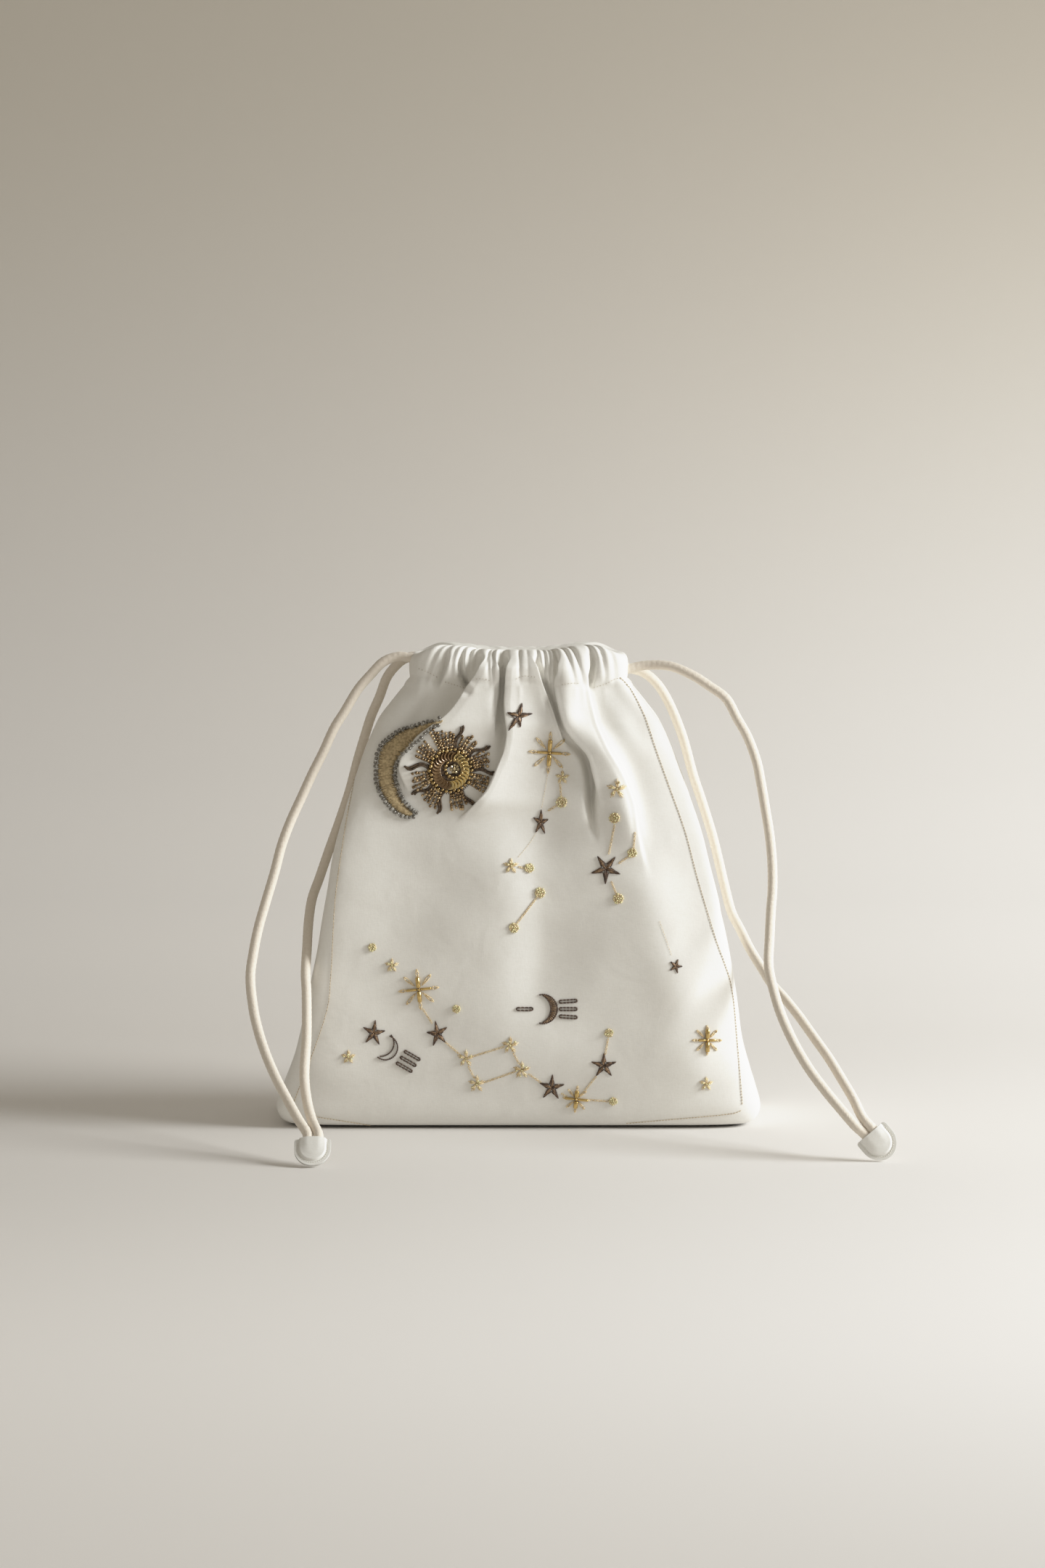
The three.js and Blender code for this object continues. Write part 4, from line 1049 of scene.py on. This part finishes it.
def around(x, y, radius, degrees):
    """The pixel at a radius from x, y, in a direction clockwise from upright."""
    turn = math.radians(degrees)
    return x + radius * math.sin(turn), y - radius * math.cos(turn)


def sun_place(radius, degrees):
    return around(*SUN, radius, degrees)


def on_sun_panel(pixel):
    """True where a pixel lands on the cloth of the sun, between its two pleats."""
    hit = on_cloth(*pixel)
    if hit is None:
        return False
    x, z = front_flat[divmod(hit[2], FRONT_COLUMNS - 1)]
    left_edge, right_edge = (line_at(pleat["line"], np.array([z]))[0][0] for pleat in FRONT_PLEATS[:2])
    return left_edge - 0.5 < x and (x < right_edge - 1.0 or z < 148)


def sun_beads(places, radius, seed):
    draw = random.Random(seed)
    made = []
    for pixel in places:
        if on_sun_panel(pixel):
            place, normal, _ = on_cloth(*pixel)
            along = np.array([draw.uniform(-1, 1) for _ in range(3)])
            made.append(bead(place, normal, along, radius * MM * draw.uniform(0.9, 1.1)))
    return made


SEQUIN_AROUND = 20
SEQUIN_PROFILE = ((0.16, 0.0), (0.55, 0.02), (0.85, 0.09), (1.0, 0.16), (1.0, 0.22), (0.85, 0.15),
                  (0.55, 0.08), (0.16, 0.06))


def sequin(place, normal, tilt, radius):
    """A thin cupped disc with a hole, tipped so that it laps over the next one."""
    normal = unit(normal + 0.35 * tilt)
    side = unit(np.cross(normal, (0, 0, 1.0)))
    ring = circle(SEQUIN_AROUND, side, np.cross(side, normal))
    points = [place + normal * (0.75 * MM) + radius * (r * ring + h * normal) for r, h in SEQUIN_PROFILE]
    faces = [face[:1] + face[:0:-1] for face in ring_faces(SEQUIN_AROUND, len(SEQUIN_PROFILE))]
    return np.array(points).transpose(1, 0, 2).reshape(-1, 3), faces


gold_bead = bead_material("gold_bead", (0.40, 0.27, 0.105), 0.85, 0.2)
bronze_bead = bead_material("bronze_bead", (0.26, 0.17, 0.08), 0.8, 0.22)
champagne_bead = bead_material("champagne_bead", (0.52, 0.38, 0.21), 0.6, 0.18)
# Painted shade: the copper sequin is a darker, duller copy of the gold one, for the side away from the light
shaded_sequin = bead_material("shaded_sequin", (0.20, 0.118, 0.05), 0.5, 0.38)
lit_sequin = bead_material("lit_sequin", (0.68, 0.50, 0.23), 0.7, 0.28)
champagne_crystal = bead_material("champagne_crystal", (0.38, 0.30, 0.17), 0.5, 0.14)
purl_thread = thread_material("bronze_purl", (0.045, 0.032, 0.024), (0.17, 0.115, 0.07), 0.36, 0.5)
fawn_silk = thread_material("fawn_silk", (0.20, 0.14, 0.09), (0.42, 0.31, 0.21), 0.4, 0.1)

draw = random.Random(30)
knot = []
for ring, count, radius in ((0.0, 1, 1.0), (5.0, 7, 0.8)):
    for k in range(count):
        place, normal, _ = on_cloth(*around(*SUN_KNOT, ring, 360 / count * k))
        lean = normal + np.array([draw.uniform(-0.35, 0.35), 0, draw.uniform(-0.35, 0.35)])
        knot.append(crystal(place + normal * 0.9 * MM, unit(lean), radius * MM, draw.uniform(0, 6)))
join("sun_knot", knot, champagne_crystal, smooth=False)
ground_pairs = [(sun_place(5, 5 * k), sun_place(33, 5 * k + 4)) for k in range(72)]
join("sun_ground", stitched(ground_pairs, 0.36, rise=0.0), purl_thread)
inner_ring = [around(*SUN_KNOT, SUN_INNER_RING, 360 / SUN_INNER_BEADS * k) for k in range(SUN_INNER_BEADS)]
join("sun_inner_ring", sun_beads(inner_ring, 0.95, seed=32), gold_bead)
sequins = {"copper": [], "gold": []}
for k in range(SEQUIN_COUNT):
    degrees = 360 / SEQUIN_COUNT * k
    pixel = sun_place(SUN_SEQUINS, degrees)
    if on_sun_panel(pixel):
        place, normal, _ = on_cloth(*pixel)
        tilt = unit(on_cloth(*sun_place(SUN_SEQUINS, degrees + 14))[0] - place)
        # Painted light and shade: sequins on the lit side are gold, the rest take the darker copper copy
        kind = "gold" if LIT_SEQUIN_SIDE[0] < degrees < LIT_SEQUIN_SIDE[1] else "copper"
        sequins[kind].append(sequin(place, normal, tilt, SEQUIN_RADIUS))
join("sun_copper_sequins", sequins["copper"], shaded_sequin)
join("sun_gold_sequins", sequins["gold"], lit_sequin)
rim_places = [sun_place(SUN_RIM + 1.2 * math.sin(2.4 * k), 360 / RIM_BEADS * k) for k in range(RIM_BEADS)]
rim = join("sun_rim", sun_beads(rim_places, 0.98, seed=33), gold_bead)
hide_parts("sun_applique")

rays = {"champagne": [], "bronze": []}
petals = []
for centre in BUNDLE_ANGLES:
    for offset in np.linspace(-12, 12, 5):
        near = sun_place(SUN_RAYS[0] - 1, centre + 1.2 * offset)
        reach = SUN_RAYS[1] - 3 - abs(offset) * 0.35 + draw.uniform(-4, 0)
        far = sun_place(reach, centre + offset + draw.uniform(-2, 2))
        if on_sun_panel(near) and on_sun_panel(far):
            petals.append((near, far))
    for offset in (-12, -6, 0.5, 6.5, 12):
        slant = draw.uniform(-2, 2)
        radius = SUN_RAYS[0] + draw.uniform(1, 3)
        while radius < SUN_RAYS[1] - draw.uniform(1, 5):
            kind = draw.choice(["champagne", "bronze", "bronze"])
            x, y = sun_place(radius, centre + offset + slant * (radius - SUN_RAYS[0]) / 25)
            rays[kind].append((x + draw.uniform(-0.7, 0.7), y + draw.uniform(-0.7, 0.7)))
            radius += draw.uniform(3.6, 5.6)
for radius in np.arange(31, 59, 4.6):
    rays["champagne"].append(sun_place(radius, BEADED_RAY))
    rays["bronze"].append(sun_place(radius + 2, BEADED_RAY + 5))
join("sun_petals", stitched(petals, 0.36, rise=0.3, steps=6), fawn_silk)
join("sun_champagne_rays", sun_beads(rays["champagne"], 0.78, seed=34), champagne_bead)
join("sun_bronze_rays", sun_beads(rays["bronze"], 0.78, seed=36), bronze_bead)
purls = []
for centre in PURL_ANGLES:
    bend = draw.choice([-1, 1]) * draw.uniform(3, 5)
    end = SUN_RAYS[1] + draw.uniform(1, 6)
    for strand in (-1.5, 1.5):
        run = np.linspace(SUN_RAYS[0] - 1, end + strand, 40)
        share = (run - run[0]) / (run[-1] - run[0])
        turns = centre + strand * 45 / run + bend * np.sin(share * math.tau * 0.9)
        hits = [on_cloth(*pixel) for pixel in map(sun_place, run, turns) if on_sun_panel(pixel)]
        if len(hits) > 8:
            normals = np.array([hit[1] for hit in hits])
            places = np.array([hit[0] for hit in hits]) + normals * 0.6 * MM
            coil = 0.55 * (1 + 0.16 * np.cos(np.arange(len(hits)) * math.pi))
            coil[[0, -1]] *= 0.5
            purls.append(tube(places, coil * MM, normals, 8))
join("sun_purls", purls, purl_thread)


# Five-pointed stars: brown thread outlines with bronze fill stitches that run out along each arm.
# Centre in pixels, half width, half height, turn in degrees
BRONZE_STARS = [
    (714.5, 986.5, 18, 19, 8), (745, 1133, 11, 18, 4), (835, 1197, 21, 21, 182), (515, 1423, 16, 18, 8),
    (603, 1424, 15, 18, -12), (760, 1498, 18, 18, 4), (832, 1468, 18, 17, 0), (931, 1331, 9, 10, 20),
]
brown_thread = thread_material("brown_thread", (0.06, 0.038, 0.028), (0.15, 0.095, 0.065), 0.45, 0.15)
bronze_thread = thread_material("bronze_thread", (0.17, 0.105, 0.06), (0.38, 0.25, 0.15), 0.36, 0.5)
# The top star lies on a fold, which spreads its arms unevenly: degrees from upright and reach in pixels
UNEVEN_ARMS = {0: [(14.5, 18.7), (80, 19.6), (171, 15.4), (215, 24.2), (287, 16.4)]}
STAR_WAIST = 0.19
FILL_SPREAD = (-32, -22, -11, 0, 11, 22, 32)


def star_arms(number):
    """The five tips of a star as offsets from its centre in pixels."""
    _, _, half_width, half_height, turn = BRONZE_STARS[number]
    if number in UNEVEN_ARMS:
        return [np.array(around(0, 0, reach, degrees)) for degrees, reach in UNEVEN_ARMS[number]]
    return [np.array(around(0, 0, 1, 72 * arm + turn)) * (half_width, half_height) for arm in range(5)]


def turned(offset, degrees):
    cos, sin = math.cos(math.radians(degrees)), math.sin(math.radians(degrees))
    return np.array((offset[0] * cos - offset[1] * sin, offset[0] * sin + offset[1] * cos))


outline_pairs, fill_pairs, glint_pairs = [], [], []
draw = random.Random(41)
for number, star in enumerate(BRONZE_STARS):
    centre = np.array(star[:2])
    tips = star_arms(number)
    for arm, tip in enumerate(tips):
        for beside in (tips[arm - 1], tips[(arm + 1) % 5]):
            waist = STAR_WAIST * (tip + beside)
            middle = (tip + waist) / 2
            outline_pairs += [(centre + waist, centre + middle), (centre + middle, centre + tip)]
        for spread in FILL_SPREAD:
            start = centre + turned(tip, spread * 1.3) * draw.uniform(-0.06, 0.12)
            end = centre + turned(tip, spread * 0.42) * (0.9 - abs(spread) / 75 + draw.uniform(-0.06, 0.06))
            (glint_pairs if draw.random() < 0.5 else fill_pairs).append((start, end))
join("star_outlines", stitched(outline_pairs, 0.25, rise=0.2), brown_thread)
join("star_fills", stitched(fill_pairs, 0.3, rise=0.35), brown_thread)
join("star_glints", stitched(glint_pairs, 0.28, rise=0.42), bronze_thread)


# Cross stars: four gold bugle beads sewn in a cross with pale gold thread rays between and beyond them.
# Centre in pixels, reach of the upright and of the level beads, turn in degrees, reach of the thread rays
CROSS_STARS = {
    "bugle_1": (757, 1037, 18, 17, 4, 28), "bugle_2": (577, 1363, 17, 17, -6, 27),
    "bugle_3": (794, 1514, 12, 16, 6, 18), "bugle_4": (974, 1433, 16, 12, 0, 20),
}
BUGLE_RADIUS = 1.05
BUGLE_GAP = 2.5
BUGLE_SHARES = np.array([0, 0.0, 0.06, 0.5, 0.94, 1.0, 1.0])
BUGLE_RADII = np.array([0.35, 0.8, 1.0, 1.0, 1.0, 0.8, 0.35])
bugle_glass = bead_material("gold_bugle", (0.60, 0.42, 0.15), 0.75, 0.18)
gold_thread = thread_material("gold_thread", (0.64, 0.47, 0.24), (0.94, 0.80, 0.54), 0.4, 0.1)


def bugle(start, end, radius):
    """A straight glass tube between two pixels, lying on the cloth."""
    a, b = on_cloth(*start), on_cloth(*end)
    run = b[0] - a[0]
    up = (a[1] + b[1]) / 2
    middle, _, _ = on_cloth((start[0] + end[0]) / 2, (start[1] + end[1]) / 2)
    sink = max(0.0, float((middle - (a[0] + b[0]) / 2).dot(up)))
    places = a[0] + BUGLE_SHARES[:, None] * run + up * (radius * 0.95 * MM + sink)
    places[0] -= 1e-5 * run
    places[-1] += 1e-5 * run
    return tube(places, BUGLE_RADII * radius * MM, np.tile(up, (len(places), 1)), 12)


ray_pairs = []
for name, (x, y, upright, level, turn, reach) in CROSS_STARS.items():
    beads = []
    for quarter in range(4):
        length, radius = (level, 0.6 * BUGLE_RADIUS) if quarter % 2 else (upright, BUGLE_RADIUS)
        angle = 90 * quarter + turn
        beads.append(bugle(around(x, y, BUGLE_GAP, angle), around(x, y, length, angle), radius))
        for offset, near, far in ((45, 0.25, 1.0), (0, 0.6, 1.05)):
            for side in (-5, 5):
                root = around(x, y, reach * near, angle + offset)
                belly = around(x, y, reach * 0.8, angle + offset + side)
                tip = around(x, y, reach * far, angle + offset)
                ray_pairs += [(root, belly), (belly, tip)]
    place, normal, _ = on_cloth(x, y)
    beads.append(bead(place, normal, np.array((1.0, 0, 1.0)), 0.85 * MM))
    cross = join(name + "_beads", beads, bugle_glass)
    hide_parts(*[name + letter for letter in "abcd"])


# Thread stars, bead dots and constellation lines: pale gold metallic thread and tiny gold beads.
# Both have a centre in pixels and a half size.
THREAD_STARS = [
    (775, 1071, 9), (850, 1087, 13), (704, 1193, 10), (540, 1330, 9), (480, 1456, 9), (642, 1458, 11),
    (703, 1440, 11), (719, 1474, 11), (657, 1493, 11), (973, 1493, 9),
]
DOTS = [
    (774, 1105, 8.5), (729, 1196, 7), (744, 1230, 8), (847, 1127, 8), (871, 1175, 7), (852, 1238, 8),
    (513, 1305, 6), (629, 1390, 6), (839, 1423, 6.5), (845, 1517, 6), (708, 1278, 7.5),
]
# Threads of a dot: how many, the first one's direction, how far each turns, its start and end in half sizes
DOT_THREADS = ((9, 0, 46, 0.8, 0.8), (12, 5, 0, 0.12, 0.95), (5, 10, 90, 0.42, 0.42))
DOT_RINGS = ((0.0, 1), (0.42, 5), (0.8, 8))
for x, y, half in THREAD_STARS:
    for arm in range(5):
        for offset, share in ((-12, 0.9), (0, 1.12), (12, 0.9)):
            angle = 72 * arm + offset
            root = around(x, y, 0.1 * half, angle + math.degrees(1))
            ray_pairs.append((root, around(x, y, half * share, angle)))
for x, y, half in DOTS:
    for count, first, sweep, near, far in DOT_THREADS:
        for step in range(count):
            angle = 360 / count * step + first
            ray_pairs.append((around(x, y, near * half, angle), around(x, y, far * half, angle + sweep)))
join("gold_stars", stitched(ray_pairs, 0.3, rise=0.3), gold_thread)
dot_beads = []
for x, y, half in DOTS:
    for ring, count in DOT_RINGS:
        for step in range(count):
            turn = math.tau * step / count + draw.uniform(-0.3, 0.3)
            place, normal, _ = on_cloth(*around(x, y, ring * half, math.degrees(turn)))
            along = np.array([draw.uniform(-1, 1), 0, draw.uniform(-1, 1)])
            place = place + normal * draw.uniform(0, 0.3) * MM
            dot_beads.append(bead(place, normal, along, draw.uniform(0.42, 0.6) * MM))
for x, y, half in THREAD_STARS:
    for arm in range(6):
        turn = math.tau * arm / 5 + draw.uniform(-0.4, 0.4)
        reach = half * draw.uniform(0.35, 0.75) if arm else 0
        place, normal, _ = on_cloth(*around(x, y, reach, math.degrees(turn)))
        along = np.array([draw.uniform(-1, 1), 0, draw.uniform(-1, 1)])
        dot_beads.append(bead(place + normal * 0.3 * MM, normal, along, draw.uniform(0.45, 0.6) * MM))
bright_bead = bead_material("bright_bead", (0.97, 0.69, 0.36), 0.2, 0.25)
join("gold_seed_beads", dot_beads, bright_bead)

CHAIN_LINES = [
    ((755, 1117), (768, 1109)), ((772, 1079), (773, 1096)), ((714, 1194), (722, 1196)),
    ((847, 1136), (839, 1176)), ((852, 1190), (866, 1180)), ((875, 1146), (873, 1168)),
    ((842, 1214), (849, 1231)), ((740, 1236), (713, 1271)), ((582, 1389), (595, 1409)),
    ((612, 1434), (634, 1453)), ((652, 1455), (694, 1442)), ((707, 1450), (715, 1465)),
    ((645, 1468), (653, 1484)), ((667, 1491), (710, 1476)), ((728, 1479), (745, 1491)),
    ((773, 1506), (781, 1511)), ((838, 1430), (834, 1452)), ((822, 1482), (805, 1503)),
    ((812, 1515), (838, 1517)),
]
CHAIN_LINK = 5.2
CHAIN_LAP = 1.25
CHAIN_HALF = 1.3
chain_pairs = []
for start, end in np.array(CHAIN_LINES, float):
    run = np.linalg.norm(end - start)
    along = (end - start) / run
    aside = np.array((-along[1], along[0]))
    count = max(2, round(run / CHAIN_LINK))
    for k in range(count):
        near = start + along * (run * k / count)
        far = near + along * (run / count * CHAIN_LAP)
        for side in (-CHAIN_HALF, CHAIN_HALF):
            middle = (near + far) / 2 + side * aside
            chain_pairs += [(near, middle), (middle, far)]
join("constellation_chains", stitched(chain_pairs, 0.165, rise=0.1), gold_thread)
FINE_LINES = [[(755, 1064), (751, 1088), (746, 1115)], [(739, 1147), (728, 1164), (713, 1182)],
              [(909, 1269), (917, 1292), (926, 1318)]]
fine_pairs = [pair for route in FINE_LINES for pair in dashes(route, length=2.6, gap=1.0)]
join("constellation_threads", stitched(fine_pairs, 0.09, rise=0.05), gold_thread)


# Two small emblems of crescents with plain bars, in brown chain stitch.
# Each crescent is drawn by two arcs; the bars stand off its hollow side or its back.
# Arcs of the crescents: centre and radius in pixels, first and last direction in degrees, points
SOLID_OUTER = (748, 1390, 20, -105, 105, 25)
SOLID_INNER = (738, 1390, 21, -62, 62, 25)
OPEN_OUTER = (531, 1443, 17, -70, 130, 22)
OPEN_INNER = (525, 1437, 18, -40, 95, 22)
# Bars from end to end in pixels; the last two are the middle ones of three, which lie these offsets apart
HOLLOW_BAR = ((712, 1390), (734, 1390))
SOLID_BAR = ((771, 1390), (795, 1390))
OPEN_BAR = ((552, 1456), (573, 1468))
BAR_OFFSETS = (-10, 0, 10)
SOLID_SPREAD = ((0, 1), (0, 1.15))
OPEN_SPREAD = (-0.55, 0.8)
SOLID_HALF = 1.9
OPEN_HALF = 1.7
BAR_STITCH = 5


def arc(x, y, radius, start, end, count):
    return [around(x, y, radius, degrees + 90) for degrees in np.linspace(start, end, count)]


def bar(start, end, half):
    """A narrow bar drawn by a line of stitches down each side and one across each end."""
    start, end = np.array(start, float), np.array(end, float)
    run = np.linalg.norm(end - start)
    aside = half * np.array((start[1] - end[1], end[0] - start[0])) / run
    pairs = [(start - aside, start + aside), (end - aside, end + aside)]
    for side in (-aside, aside):
        stops = np.linspace(start + side, end + side, max(3, round(run / BAR_STITCH)) + 1)
        pairs += list(zip(stops, stops[1:]))
    return pairs


solid_outer = arc(*SOLID_OUTER)
solid_inner = arc(*SOLID_INNER)
emblem_pairs = bar(*HOLLOW_BAR, SOLID_HALF)
for line in (solid_outer, solid_inner, arc(*OPEN_OUTER), arc(*OPEN_INNER)):
    emblem_pairs += list(zip(line, line[1:]))
for offset in BAR_OFFSETS:
    emblem_pairs += bar(*(np.array(SOLID_BAR) + offset * np.array(SOLID_SPREAD)), SOLID_HALF)
    emblem_pairs += bar(*(np.array(OPEN_BAR) + offset * np.array(OPEN_SPREAD)), OPEN_HALF)
emblem_fill = list(zip(solid_outer[2:-2], solid_inner[2:-2]))
join("emblem_lines", stitched(emblem_pairs, 0.36, rise=0.2), brown_thread)
join("emblem_fill", stitched(emblem_fill, 0.34, rise=0.3), bronze_thread)


# Stage: a pale matt floor that sweeps up into a plain wall, with painted shade darker up the wall and painted
# light lighter to the front.
# The wall is clear from behind, and a floor goes on behind it, so the back of the pouch can be seen.
FLOOR_TONE = (0.77, 0.745, 0.715)
# Painted shade up the wall and painted light on the floor near the front, over the floor's own tone
WALL_PAINTED_SHADE = (0.60, 0.555, 0.48)
NEAR_PAINTED_LIGHT = (0.95, 0.925, 0.90)
STAGE_SIDES = (6.0, -6.0)
SWEEP_ROWS = 60
SWEEP = [(-2.2, 0.0), (-1.0, 0.0), (0.15, 0.0), (0.30, 0.008), (0.38, 0.05), (0.42, 0.14), (0.43, 0.5),
         (0.43, 2.4)]
floor_material, tree, shader = new_material("pale_floor")
axes = add_node(tree, "ShaderNodeSeparateXYZ", {"Vector": object_place(tree)})
wall_shade_share = add_node(tree, "ShaderNodeMapRange", {
    "Value": axes.outputs["Z"], "From Min": 0.1, "From Max": 0.62}, interpolation_type="SMOOTHSTEP")
front_light_share = add_node(tree, "ShaderNodeMapRange", {
    "Value": axes.outputs["Y"], "From Min": -0.5, "From Max": -0.1, "To Min": 1.0, "To Max": 0.0},
    interpolation_type="SMOOTHSTEP")
# The painted shade grows up the wall and the painted light grows towards the front
tone = blend(tree, wall_shade_share.outputs["Result"], FLOOR_TONE, WALL_PAINTED_SHADE)
tone = blend(tree, front_light_share.outputs["Result"], tone, NEAR_PAINTED_LIGHT)
set_inputs(tree, shader, {"Base Color": tone, "Roughness": 0.9})
clear = add_node(tree, "ShaderNodeMixShader", {
    "Fac": add_node(tree, "ShaderNodeNewGeometry", {}).outputs["Backfacing"], 1: shader.outputs["BSDF"],
    2: add_node(tree, "ShaderNodeBsdfTransparent", {}).outputs["BSDF"]})
set_inputs(tree, tree.nodes["Material Output"], {"Surface": clear.outputs["Shader"]})
sweep_line = smooth_curve(SWEEP, SWEEP_ROWS)
sweep_points = np.array([[(x, y, z) for y, z in sweep_line] for x in STAGE_SIDES])
add_mesh("sweep", sweep_points, grid_faces(2, SWEEP_ROWS).tolist(), floor_material)
behind_points = np.array([[(x, y, -0.0005) for y in (0.1, 5.0)] for x in STAGE_SIDES])
add_mesh("floor_behind", behind_points, grid_faces(2, 2).tolist(), floor_material)


# Light: one round soft window high on the right and a weak warm room all round.
# Brightness above the pale cloth's own tone is held back, as film does.
WINDOW = Vector((1.27, -0.27, 0.61))
WINDOW_AIM = Vector((0.12, -0.1, 0.0))
HIGHLIGHTS = [(0.0, 0.0), (0.4, 0.4), (0.8, 0.8), (0.92, 0.885), (1.1, 0.93), (1.5, 0.972), (3.0, 1.0)]
window_data = bpy.data.lights.new("window", "AREA")
window_data.shape = "DISK"
window_data.size = 0.65
window_data.spread = math.radians(105)
window_data.energy = 8.0
window_data.color = (0.955, 0.985, 1.0)
window = bpy.data.objects.new("window", window_data)
window.location = WINDOW
window.rotation_euler = (WINDOW_AIM - WINDOW).to_track_quat("-Z", "Y").to_euler()
bpy.context.scene.collection.objects.link(window)
world = bpy.data.worlds.new("studio")
world.use_nodes = True
room = {"Color": (1.0, 0.935, 0.82, 1), "Strength": 0.355}
set_inputs(world.node_tree, world.node_tree.nodes["Background"], room)
bpy.context.scene.world = world
view = bpy.context.scene.view_settings
view.view_transform = "Standard"
view.use_curve_mapping = True
view.curve_mapping.clip_max_x = HIGHLIGHTS[-1][0]
shoulder = view.curve_mapping.curves[3].points
shoulder[0].location = HIGHLIGHTS[0]
shoulder[1].location = HIGHLIGHTS[-1]
for level in HIGHLIGHTS[1:-1]:
    shoulder.new(*level)
view.curve_mapping.update()
